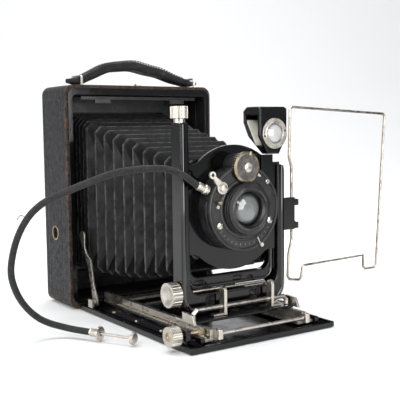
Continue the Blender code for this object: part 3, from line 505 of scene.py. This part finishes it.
def ticks(angles, inner, outer, width, front, back):
    """Small raised bars that point at the lens's axis, as points round that axis and faces."""
    points, faces = [], []
    for a in angles:
        along = Vector((cos(a), 0, sin(a)))
        side = Vector((-sin(a), 0, cos(a))) * width / 2
        first = len(points)
        for y, ease in ((back, 0.0), (front, width * 0.2)):
            for r, s in ((inner + ease, -1), (outer - ease, -1), (outer - ease, 1), (inner + ease, 1)):
                points.append(along * r + side * s * (1 - ease / width) + Vector((0, y, 0)))
        faces += [tuple(first + k for k in quad) for quad in
                  ((4, 5, 6, 7), (0, 1, 5, 4), (1, 2, 6, 5), (2, 3, 7, 6), (3, 0, 4, 7), (3, 2, 1, 0))]
    return points, faces


def moved(points, offset):
    return [p + Vector(offset) for p in points]


def spin(p, turn):
    """A point turned about the Y axis, from X towards Z."""
    return Vector((p.x * cos(turn) - p.z * sin(turn), p.y, p.x * sin(turn) + p.z * cos(turn)))


def screw_head(name, place, radius, height, turn, body, finish=None):
    """A round head with a slot, seen from the front: a low disc with two half-round lands on it."""
    points, faces = [], []
    gap = radius * 0.14
    profile = [(0.0, 0.55), (1.0, 0.55), (1.0, 0.0), (0.0, 0.0)]
    disc, quads = lathe([(r * radius, h * height) for r, h in profile], (0, 0, 0), 24)
    points += disc
    faces += quads
    for flip in (0, pi):
        first = len(points)
        for r, h in ((radius, 0.5), (radius, 0.8), (radius * 0.86, 1.0)):
            for i in range(13):
                a = pi * i / 12
                u = r * cos(a)
                v = max(r * sin(a), gap)
                points.append(spin(Vector((u, -h * height, v)), flip))
        faces += [tuple(first + f for f in quad) for quad in ring_faces(3, 13)]
        faces.append(tuple(range(first + 26, first + 39)))
    spun = [spin(p, turn) for p in points]
    return piece(name, moved(spun, place), faces, finish or NICKEL, body, smooth=True)


def smooth_line(route, steps=10):
    """Points along a smooth curve through the route's own points."""
    pads = [route[0] * 2 - route[1], *route, route[-1] * 2 - route[-2]]
    line = []
    for before, a, b, after in zip(pads, pads[1:], pads[2:], pads[3:]):
        line += interpolate_bezier(a, a + (b - before) / 6, b - (after - a) / 6, b, steps + 1)[:-1]
    return line + [route[-1]]


def tube(name, line, radius, finish, body, resolution=4):
    """A round curve along a line."""
    curve = bpy.data.curves.new(name, "CURVE")
    curve.dimensions = "3D"
    curve.bevel_depth = radius
    curve.bevel_resolution = resolution
    curve.use_fill_caps = True
    curve.materials.append(finish)
    spline = curve.splines.new("POLY")
    spline.points.add(len(line) - 1)
    for point, place in zip(spline.points, line):
        point.co = (*place, 1.0)
    spline.use_smooth = True
    made = bpy.data.objects.new(name, curve)
    bpy.context.scene.collection.objects.link(made)
    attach(made, body)
    return made


# The cable release

CABLE_RADIUS = 2 * MM
CABLE_ROUTE = [
    (-0.039, -0.117, 0.0965), (-0.044, -0.1165, 0.099), (-0.0515, -0.1155, 0.1015),
    (-0.0605, -0.1135, 0.102), (-0.0705, -0.1105, 0.1015), (-0.081, -0.106, 0.0995),
    (-0.091, -0.1005, 0.0955), (-0.101, -0.0945, 0.091), (-0.1095, -0.0885, 0.0865),
    (-0.1155, -0.084, 0.082), (-0.1205, -0.079, 0.075), (-0.1245, -0.074, 0.0645),
    (-0.1265, -0.0695, 0.052), (-0.126, -0.066, 0.041), (-0.1215, -0.0625, 0.0295),
    (-0.115, -0.06, 0.02), (-0.1075, -0.0585, 0.0128), (-0.101, -0.0595, 0.0088),
    (-0.095, -0.0625, 0.0065), (-0.0894, -0.068, 0.005),
]
FERRULE_ANGLE = radians(154)
FERRULE_END = 35.2 * MM
FERRULE_Y = -0.117
COLLAR = Vector((-0.0814, -0.0824, 0.0045))
BUTTON = Vector((-0.0693, -0.1054, 0.0042))
COLLAR_BACK = 3.9 * MM


def cable_release():
    out = Vector((cos(FERRULE_ANGLE), 0, sin(FERRULE_ANGLE)))
    start = LENS_AXIS + Vector((0, FERRULE_Y, 0)) + out * FERRULE_END
    end = COLLAR - (BUTTON - COLLAR).normalized() * COLLAR_BACK
    line = smooth_line([start, *(Vector(p) for p in CABLE_ROUTE), end])
    cable = tube("cable", line, CABLE_RADIUS, CLOTH, "lens")
    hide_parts("release_cable")
    fray_start = Vector(CABLE_ROUTE[10]) + Vector((-0.0012, 0, 0.001))
    fray_steps = ((0, 0, 0), (-0.0022, 0, 0.0012), (-0.0036, 0.0004, 0.0003), (-0.0046, 0.0006, -0.0014))
    fray = moved([Vector(step) for step in fray_steps], fray_start)
    thread = tube("cable_loose_thread", smooth_line(fray, 5), 0.2 * MM, CLOTH, "lens", 2)


# The bellows: a front piece that goes with the lens board and a rear piece that draws out of the body


def pleat_ring(y, half, low, high, cut):
    """A ring of eight corners, with points between them so that the long sides can sag."""
    corners = [
        (half, low + cut), (half, high - cut), (half - cut, high), (-half + cut, high),
        (-half, high - cut), (-half, low + cut), (-half + cut, low), (half - cut, low),
    ]
    ring = []
    for k, (x, z) in enumerate(corners):
        next_x, next_z = corners[(k + 1) % 8]
        parts = 6 if k % 2 == 0 else 2
        for i in range(parts):
            t = i / parts
            ring.append(Vector((x + (next_x - x) * t, y, z + (next_z - z) * t)))
    return ring


BELLOWS_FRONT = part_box("bellows")[0][1]
BELLOWS_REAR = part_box("bellows")[1][1]
BELLOWS_JOIN = 6 * MM
PLEATS_START = -99.4 * MM
PLEAT_DEPTH = 6.2 * MM


def pleats(first_y, last_y, folds):
    """Rings of ridges and valleys between two places, each ridge with a narrow flat top."""
    rings = []
    size = None
    for i in range(2 * folds + 1):
        y = first_y + (last_y - first_y) * i / (2 * folds)
        t = (y + 100.6 * MM) / (137.2 * MM)
        ridge = i % 2 == 0
        pinch = 0.0 if ridge else PLEAT_DEPTH
        half = 34.0 * MM + 9.6 * MM * t - pinch
        low = 24 * MM + 14 * MM * max(1 - t, 0) ** 3 + pinch
        high = 104 * MM + 32 * MM * t - pinch
        cut = (3.0 + 1.2 * t) * MM + (0.0 if ridge else 9.5 * MM)
        flats = (-0.35 * MM, 0.35 * MM) if ridge else (0.0,)
        for shift in flats:
            ring = pleat_ring(min(max(y + shift, first_y), last_y), half, low, high, cut)
            for k, point in enumerate(ring):
                sway = sin(k * 2.3 + i * 1.7) * 0.28 * MM
                point.y = min(max(point.y + sway, first_y - 0.2 * MM), last_y + 0.2 * MM)
            rings.append(ring)
        size = len(rings[0])
    return rings, size


def folded_skin(name, rings, size):
    """A skin over the rings, with a value on each point that is 1 on the ridges and 0 in the valleys."""
    points = [p for ring in rings for p in ring]
    made = piece(name, points, ring_faces(len(rings), size), BELLOWS, None)
    widths = [max(p.x for p in ring) for ring in rings]
    fold = made.data.attributes.new("fold", "FLOAT", "POINT")
    for i, width in enumerate(widths):
        nearby = widths[max(i - 2, 0):i + 3]
        value = 1.0 if width > (min(nearby) + max(nearby)) / 2 else 0.0
        for k in range(size):
            fold.data[i * size + k].value = value
    thickness = made.modifiers.new("thickness", "SOLIDIFY")
    thickness.thickness = 0.6 * MM
    thickness.offset = 0.0
    return made


def bellows():
    front, size = pleats(PLEATS_START, BELLOWS_JOIN, 9)
    forward = folded_skin("bellows_front", front, size)
    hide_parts("bellows")
    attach(forward, "lens")
    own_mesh(forward)

    low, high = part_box("bellows_front_frame")
    collar = []
    for y, inset in ((BELLOWS_FRONT + 0.5 * MM, 1.6), (-101.8 * MM, 1.6), (PLEATS_START, 3.4)):
        side, foot, top = high[0] - inset * MM, low[2] + inset * MM, high[2] - inset * MM
        collar.append(pleat_ring(y, side, foot, top, 5 * MM))
    neck = folded_skin("bellows_neck", collar, size)
    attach(neck, "lens")

    rear, size = pleats(BELLOWS_JOIN + 0.6 * MM, BELLOWS_REAR - 3.6 * MM, 6)
    rear.append(pleat_ring(BELLOWS_REAR - 0.8 * MM, 44 * MM, 24 * MM, 135 * MM, 12 * MM))
    backward = folded_skin("bellows_rear", rear, size)
    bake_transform(backward)


# The strap


def strap():
    """A flat leather handle that arches between its two lugs, with a line of stitches along each side."""
    low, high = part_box("carrying_strap")
    left, right = low[0] + 4 * MM, high[0] - 3 * MM
    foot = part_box("body_shell")[1][2] + 3.4 * MM
    rings, size = 49, 16
    line = []
    for i in range(rings):
        t = i / (rings - 1)
        rise = max(sin(pi * (t - 0.07) / 0.86), 0.0) if 0.07 < t < 0.93 else 0.0
        arch = 13.2 * MM * rise ** 0.95 * (1.0 + 0.25 * cos(pi * t))
        wave = 0.3 * MM * sin(t * 29) * min(1.0, 9 * t * (1 - t))
        line.append(Vector((left + (right - left) * t, 0, foot + arch + wave)))
    middle = (low[1] + high[1]) / 2
    points = []
    for i, place in enumerate(line):
        t = i / (rings - 1)
        before, after = line[max(i - 1, 0)], line[min(i + 1, rings - 1)]
        along = (after - before).normalized()
        up = Vector((-along.z, 0, along.x))
        end = min(1.0, 0.55 + 8 * min(t, 1 - t))
        width = 6.3 * MM * end
        thick = (2.7 - 0.5 * t + 1.0 * sin(pi * t)) * MM * min(1.0, 0.55 + 6 * min(t, 1 - t))
        place = place - Vector((0, 0, 1.7 * MM * sin(pi * t)))
        cup = 1.2 * MM * sin(pi * t)
        for k in range(size):
            a = 2 * pi * k / size
            across = max(-1.0, min(1.0, 1.25 * cos(a)))
            lift = max(-1.0, min(1.0, 1.5 * sin(a)))
            offset = up * (thick * lift * (1 - 0.25 * across ** 4) - cup * across ** 2)
            points.append(place + Vector((0, middle + width * across, 0)) + offset)
    faces = ring_faces(rings, size)
    faces += [tuple(range(size))[::-1], tuple(range((rings - 1) * size, rings * size))]
    made = piece("strap", points, faces, STRAP, "camera_body", smooth=True)
    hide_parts("carrying_strap")
    stitches(line[6:-6], middle)


def stitches(line, middle):
    points, faces = [], []
    for side in (-1, 1):
        for place, ahead in zip(line, line[1:]):
            along = (ahead - place).normalized()
            up = Vector((-along.z, 0, along.x))
            spot = (place + ahead) / 2 + Vector((0, middle + side * 4.4 * MM, 0)) + up * 1.7 * MM
            first = len(points)
            for end in (-0.7, 0.7):
                for u, v in ((-0.22, -0.4), (0.22, -0.4), (0.3, 0.2), (0, 0.4), (-0.3, 0.2)):
                    points.append(spot + along * end * MM + Vector((0, u * MM, 0)) + up * v * MM)
            faces += [tuple(first + f for f in quad) for quad in ring_faces(2, 5)]
            faces += [tuple(first + k for k in (4, 3, 2, 1, 0)), tuple(first + 5 + k for k in range(5))]
    piece("strap_stitching", points, faces, CLOTH, "camera_body")


# The shutter and the lens


def shutter_details():
    low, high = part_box("shutter_housing")
    face = Vector((LENS_AXIS.x, low[1], LENS_AXIS.z))
    radius = high[0] - LENS_AXIS.x
    lip = [(radius - 1.9 * MM, 0), (radius - 1.8 * MM, 0.55 * MM), (radius - 1.0 * MM, 0.8 * MM),
           (radius - 0.3 * MM, 0.55 * MM), (radius - 0.2 * MM, 0)]
    points, faces = lathe(lip, face, 96)
    piece("shutter_rim", points, faces, ENAMEL, "lens", smooth=True)
    step = [(16.2, 0), (16.3, 0.6), (17.6, 0.7), (18.2, 0.3), (18.3, 0)]
    points, faces = lathe([(r * MM, h * MM) for r, h in step], face, 80)
    piece("shutter_inner_ring", points, faces, ENAMEL, "lens", smooth=True)
    band = [(0.02, -2.5), (0.25, -3.0), (0.25, -4.2), (0.02, -4.7)]
    band = [(radius + r * MM, h * MM) for r, h in band]
    points, faces = lathe(band, face, 96, radians(168), radians(372))
    piece("shutter_side_band", points, faces, ENAMEL, "lens", smooth=True)

    scale = [(19.4 * MM, 0.0), (19.5 * MM, 0.35 * MM), (23.4 * MM, 0.35 * MM), (23.5 * MM, 0.0)]
    points, faces = lathe(scale, face, 40, radians(212), radians(328))
    piece("aperture_scale", points, faces, ENAMEL, "lens")
    marks = [radians(216 + i * 9) for i in range(13)]
    points, faces = ticks(marks, 21.0 * MM, 22.4 * MM, 0.26 * MM, -0.5 * MM, -0.3 * MM)
    piece("aperture_marks", moved(points, face), faces, MARKS, "lens")

    screws = ((-18.6, -9.0, 2.1), (18.8, -8.2, 2.1), (17.2, 15.4, 1.5), (-19.8, 2.0, 1.2))
    for i, (x, z, size) in enumerate(screws):
        place = face + Vector((x * MM, 0, z * MM))
        screw_head(f"shutter_screw_{i}", place, size * MM, 1.2 * MM, radians(35 + 50 * i), "lens")


def dial_details():
    low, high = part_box("speed_dial")
    axis = Vector(((low[0] + high[0]) / 2, 0, (low[2] + high[2]) / 2))
    face = axis + Vector((0, low[1] + 0.6 * MM, 0))
    plate = [(3.0 * MM, 0.0), (3.05 * MM, 0.15 * MM), (7.9 * MM, 0.15 * MM), (8.0 * MM, 0.0)]
    points, faces = lathe(plate, face, 56)
    piece("dial_face", points, faces, DIAL_FACE, "dial")
    centre = axis + Vector((0, low[1] - 0.05 * MM, 0))
    screw_head("dial_screw", centre, 2.9 * MM, 0.8 * MM, radians(28), "dial")
    outline = ((-0.9, 0.0), (0.9, 0.0), (0.35, 4.0), (-0.35, 4.0))
    for name, turn, reach in (("top", radians(78), 7.4), ("side", radians(-32), 8.6)):
        points = []
        for y in (0.0, -0.5):
            for u, v in outline:
                along = Vector((cos(turn), 0, sin(turn)))
                across = Vector((-sin(turn), 0, cos(turn)))
                points.append(axis + along * (reach + v * 0.55) * MM + across * u * MM
                              + Vector((0, low[1] + (0.1 + y) * MM, 0)))
        faces = [(4, 5, 6, 7), (3, 2, 1, 0), (0, 1, 5, 4), (1, 2, 6, 5), (2, 3, 7, 6), (3, 0, 4, 7)]
        piece(f"dial_pointer_{name}", points, faces, NICKEL, "dial")
    knurl = []
    steps = 72
    for i in range(steps):
        a = 2 * pi * i / steps
        r = (9.3 + (0.12 if i % 2 else -0.12)) * MM
        for h in (0.0, 2.2):
            knurl.append(axis + Vector((r * cos(a), low[1] + 3.4 * MM - h * MM, r * sin(a))))
    faces = ring_faces(steps, 2, closed=True)
    piece("dial_rim", knurl, faces, BRASS, "dial")


def lens_details():
    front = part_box("lens_barrel")[0][1]
    face = Vector((LENS_AXIS.x, front, LENS_AXIS.z))
    bezel = [(11.2 * MM, -0.6 * MM), (11.4 * MM, 0.12 * MM), (13.3 * MM, 0.16 * MM), (13.8 * MM, -0.1 * MM)]
    points, faces = lathe(bezel, face, 80)
    piece("lens_bezel", points, faces, ENAMEL, "lens", smooth=True)
    groups = [radians(a) for start in (20, 118, 222, 300) for a in range(start, start + 44, 4)]
    points, faces = ticks(groups, 12.0 * MM, 12.7 * MM, 0.16 * MM, -0.24 * MM, -0.1 * MM)
    piece("bezel_marks", moved(points, face), faces, MARKS, "lens")
    raised = [(15.3, 0.0), (15.6, -0.3), (15.6, -1.1), (15.3, -1.4)]
    for i in range(2):
        start = face + Vector((0, (2.0 + i * 2.2) * MM, 0))
        points, faces = lathe([(r * MM, h * MM) for r, h in raised], start, 72)
        piece(f"barrel_ring_{i}", points, faces, ENAMEL, "lens", smooth=True)


def lever_details():
    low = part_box("cocking_lever")[0]
    pin = Vector((-0.0197, low[1] + 0.7 * MM, 0.0807))
    screw_head("stop_pin", pin, 1.1 * MM, 1.6 * MM, radians(10), "lens", BRASS)
    pivot = Vector((-0.017, low[1], 0.0892))
    screw_head("cocking_screw", pivot, 2.2 * MM, 0.9 * MM, radians(-20), "cocking")


# The finders


SLAB_FACES = [(0, 1, 2, 3), (7, 6, 5, 4), (0, 4, 5, 1), (1, 5, 6, 2), (2, 6, 7, 3), (3, 7, 4, 0)]


def finder_details():
    low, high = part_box("finder_housing")
    ring_front = ring_low[1]
    lens = [(0.0, 1.3), (2.0, 1.2), (4.0, 0.75), (5.7, 0.0), (5.9, -0.5)]
    origin = FINDER_AXIS + Vector((0, ring_front + 0.4 * MM, 0))
    points, faces = lathe([(r * MM, h * MM) for r, h in lens], origin, 48)
    piece("finder_front_glass", points, faces, FINDER_GLASS, "finder", smooth=True)
    rim = [(6.1 * MM, 0.0), (6.3 * MM, 0.45 * MM), (7.0 * MM, 0.45 * MM), (7.3 * MM, 0.0)]
    points, faces = lathe(rim, FINDER_AXIS + Vector((0, ring_front, 0)), 60)
    piece("finder_ring_bead", points, faces, NICKEL, "finder", smooth=True)
    points, faces = ticks((radians(12), radians(192)), 7.3 * MM, 8.9 * MM, 1.3 * MM, -0.12 * MM, 0.2 * MM)
    centre = FINDER_AXIS + Vector((0, ring_front, 0))
    piece("finder_ring_notches", moved(points, centre), faces, ENAMEL, "finder")

    front, back = low[1] + 3.0 * MM, high[1] - 2.6 * MM
    foot = low[2] + 5.4 * MM
    corners = [(front + 2.6 * MM, foot), (back, foot + 13.8 * MM)]
    corners += [(y, z + 1.8 * MM) for y, z in corners[::-1]]
    points = [Vector((x, y, z)) for x in (low[0] + 1.2 * MM, high[0] - 2.2 * MM) for y, z in corners]
    # The mirror and the far wall both take this cream colour, a painted reflection of a pale room.
    piece("finder_mirror", points, SLAB_FACES, MIRROR, "finder")
    top = foot + 18.1 * MM
    corners = [(front, foot + 0.6 * MM), (back, foot + 14.6 * MM), (back, top), (front, top)]
    points = [Vector((x, y, z)) for x in (high[0] - 2.0 * MM, high[0] - 2.3 * MM) for y, z in corners]
    piece("finder_far_wall", points, SLAB_FACES, MIRROR, "finder")


def u_line(node, inset, right_top, corner):
    """A line down one cheek of a U frame, round its foot and up the other, in the frame's front face."""
    low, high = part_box(node)
    left, right, foot = low[0] + inset, high[0] - inset, low[2] + inset
    line = [Vector((left, 0, high[2] - 0.6 * MM)), Vector((left, 0, high[2] * 0.5))]
    for middle, start in ((left + corner, pi), (right - corner, 1.5 * pi)):
        for i in range(9):
            a = start + pi / 2 * i / 8
            line.append(Vector((middle + corner * cos(a), 0, foot + corner + corner * sin(a))))
    line += [Vector((right, 0, right_top * 0.5)), Vector((right, 0, right_top))]
    return [p + Vector((0, low[1], 0)) for p in line]


def standard_beads():
    """Rounded beads pressed into the front of both U frames."""
    for name, node, inset, right_top, corner, radius, sink in (
        ("outer_bead", "standard_frame", 1.75 * MM, FRAME_RIGHT_TOP, 10.4 * MM, 1.6 * MM, 1.1 * MM),
        ("inner_bead", "standard_inner_frame", 1.3 * MM, 98.4 * MM, 6.7 * MM, 1.15 * MM, 0.3 * MM),
    ):
        line = [p + Vector((0, sink, 0)) for p in u_line(node, inset, right_top, corner)]
        tube(name, line, radius, BEAD_LACQUER, "standard")


def wire_finder_details():
    """Nickel clips that hold the wire in its bracket."""
    low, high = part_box("wire_finder_bracket")
    wire_x = high[0] - 2.6 * MM
    wire_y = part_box("wire_finder_frame")[0][1] + 0.85 * MM
    for i, z in enumerate((low[2] + 2.3 * MM, high[2] - 3.5 * MM)):
        points = []
        size = 10
        for h in (-2.4, -2.1, 2.1, 2.4):
            r = (3.0 if abs(h) < 2.3 else 2.6) * MM
            for k in range(size):
                a = 2 * pi * k / size
                points.append(Vector((wire_x + r * cos(a), wire_y + r * sin(a), z + h * MM)))
        faces = ring_faces(4, size)
        made = piece(f"wire_clip_{i}", points, faces, NICKEL, "standard", smooth=True)
        wall = made.modifiers.new("wall", "SOLIDIFY")
        wall.thickness = 0.35 * MM


# Knobs, rails and the bed


def knob_details():
    low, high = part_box("focus_knob")
    centre = Vector((low[0], (low[1] + high[1]) / 2, (low[2] + high[2]) / 2))
    profile = [(0.0, 0.1), (0.9, 0.15), (1.3, 0.45), (2.0, 0.5), (2.4, 0.2), (2.5, -0.1)]
    steps = 28
    points = []
    for i in range(steps):
        a = 2 * pi * i / steps
        points += [centre + Vector((-h * MM, r * MM * cos(a), r * MM * sin(a))) for r, h in profile]
    faces = ring_faces(steps, len(profile), closed=True)
    piece("focus_knob_cap", points, faces, BRASS, "focus_drive", smooth=True)


def light_seal():
    """The black wall round the picture opening at the back of the body."""
    low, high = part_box("body_shell")
    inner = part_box("ground_glass")
    wall = 1.8 * MM
    points = []
    for y in (high[1] - 1.6 * MM, high[1] - 0.4 * MM):
        for (x0, z0), (x1, z1) in (((low[0] + wall, low[2] + wall), (high[0] - wall, high[2] - wall)),
                                   ((inner[0][0], inner[0][2]), (inner[1][0], inner[1][2]))):
            points += [Vector((x, y, z)) for x, z in ((x0, z0), (x1, z0), (x1, z1), (x0, z1))]
    outer_front, inner_front, outer_back, inner_back = 0, 4, 8, 12
    faces = []
    for k in range(4):
        n = (k + 1) % 4
        faces.append((outer_front + k, outer_front + n, inner_front + n, inner_front + k))
        faces.append((outer_back + n, outer_back + k, inner_back + k, inner_back + n))
        faces.append((outer_front + n, outer_front + k, outer_back + k, outer_back + n))
        faces.append((inner_front + k, inner_front + n, inner_back + n, inner_back + k))
    piece("light_seal", points, faces, ENAMEL, "camera_body")


def rail_details():
    """Screws that hold the guide rails to the bed."""
    for side in ("left", "right"):
        low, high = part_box(f"bed_rail_{side}")
        x = low[0] + 1.7 * MM if side == "left" else high[0] - 1.7 * MM
        points, faces = [], []
        for y in (-0.128, -0.098, -0.068, -0.038):
            first = len(points)
            for r, h in ((1.25, 3.4), (1.25, 3.7), (0.9, 3.95), (0.3, 3.8), (0.0, 3.8)):
                for k in range(14):
                    a = 2 * pi * k / 14
                    points.append(Vector((x + r * MM * cos(a), y + r * MM * sin(a), h * MM)))
            faces += [tuple(first + f for f in quad) for quad in ring_faces(5, 14)]
        piece(f"rail_screws_{side}", points, faces, NICKEL, "camera_body", smooth=True)


# The floor and the lights


def flag():
    """A black card that only reflections see, which keeps the flats of the black metal dark."""
    made = Finish("black_card", (0.0, 0.0, 0.0), 1.0, specular=0.0)
    across = Vector((cos(radians(-52)), sin(radians(-52)), 0))
    middle = Vector((0.42, -0.42, 0))
    corners = ((-0.5, 0.001), (0.3, 0.001), (0.3, 0.3), (-0.5, 0.3))
    points = [middle + across * u + Vector((0, 0, v)) for u, v in corners]
    card = piece("black_card", points, [(0, 1, 2, 3)], made.material, None)
    card.visible_camera = False
    card.visible_diffuse = False
    card.visible_shadow = False
    card.visible_transmission = False


def floor():
    """A pale sweep that curves up behind the object."""
    points, faces = [], []
    profile = [(-7.0, 0.0), (-1.0, 0.0), (0.2, 0.0), (1.0, 0.0)]
    rise = (0.2, 0.4, 0.6, 0.8, 1.0, 1.2, 1.4, pi / 2)
    profile += [(1.0 + 0.8 * sin(a), 0.8 - 0.8 * cos(a)) for a in rise]
    profile += [(1.8, 2.6)]
    for y, z in profile:
        points += [Vector((-7.0, y, z - 0.0004)), Vector((7.0, y, z - 0.0004))]
    faces = [(2 * i, 2 * i + 1, 2 * i + 3, 2 * i + 2) for i in range(len(profile) - 1)]
    made = Finish("paper_sweep", (0.86, 0.86, 0.86), 0.8)
    made.colour(made.mix(made.noise(3, 2), (0.87, 0.87, 0.87), (0.85, 0.85, 0.855)))
    sweep = piece("floor", points, faces, made.material, None, smooth=True)
    turn = Matrix.Rotation(AZIMUTH, 4, "Z")
    sweep.data.transform(turn)


def light(name, place, target, size, power, gloss_only=False):
    """A soft rectangular lamp that the camera doesn't see, and that may show in reflections alone."""
    lamp = bpy.data.lights.new(name, "AREA")
    lamp.shape = "RECTANGLE"
    lamp.size, lamp.size_y = size
    lamp.energy = power
    made = bpy.data.objects.new(name, lamp)
    made.location = place
    made.rotation_euler = (Vector(target) - Vector(place)).to_track_quat("-Z", "Y").to_euler()
    made.visible_camera = False
    made.visible_diffuse = not gloss_only
    bpy.context.scene.collection.objects.link(made)


def lights():
    bpy.context.scene.view_settings.view_transform = "Standard"
    world = bpy.data.worlds.new("room")
    world.use_nodes = True
    world.node_tree.nodes["Background"].inputs["Color"].default_value = (0.95, 0.97, 1.0, 1.0)
    world.node_tree.nodes["Background"].inputs["Strength"].default_value = 0.4
    bpy.context.scene.world = world
    middle = (0.03, -0.05, 0.07)
    light("backdrop_wash", (0.0, 0.6, 1.9), (-0.2, 1.6, 0.3), (2.4, 0.6), 18)
    light("overhead", (0.1, 0.1, 1.3), middle, (1.3, 1.0), 11.5)
    light("window", (-1.0, -0.75, 0.9), middle, (0.22, 0.7), 9)
    light("left_panel", (-1.5, 0.25, 0.5), middle, (1.1, 0.9), 5)
    light("right_strip", (1.1, -0.2, 0.5), middle, (0.16, 0.9), 5)
    light("left_card", (-0.50, -0.30, 0.16), middle, (0.20, 0.3), 1.3, gloss_only=True)
    light("front_card", (0.08, -0.66, 0.16), middle, (0.32, 0.3), 1.9, gloss_only=True)


dress_cad()
cable_release()
bellows()
strap()
shutter_details()
dial_details()
lens_details()
lever_details()
finder_details()
standard_beads()
wire_finder_details()
knob_details()
light_seal()
rail_details()
floor()
flag()
lights()
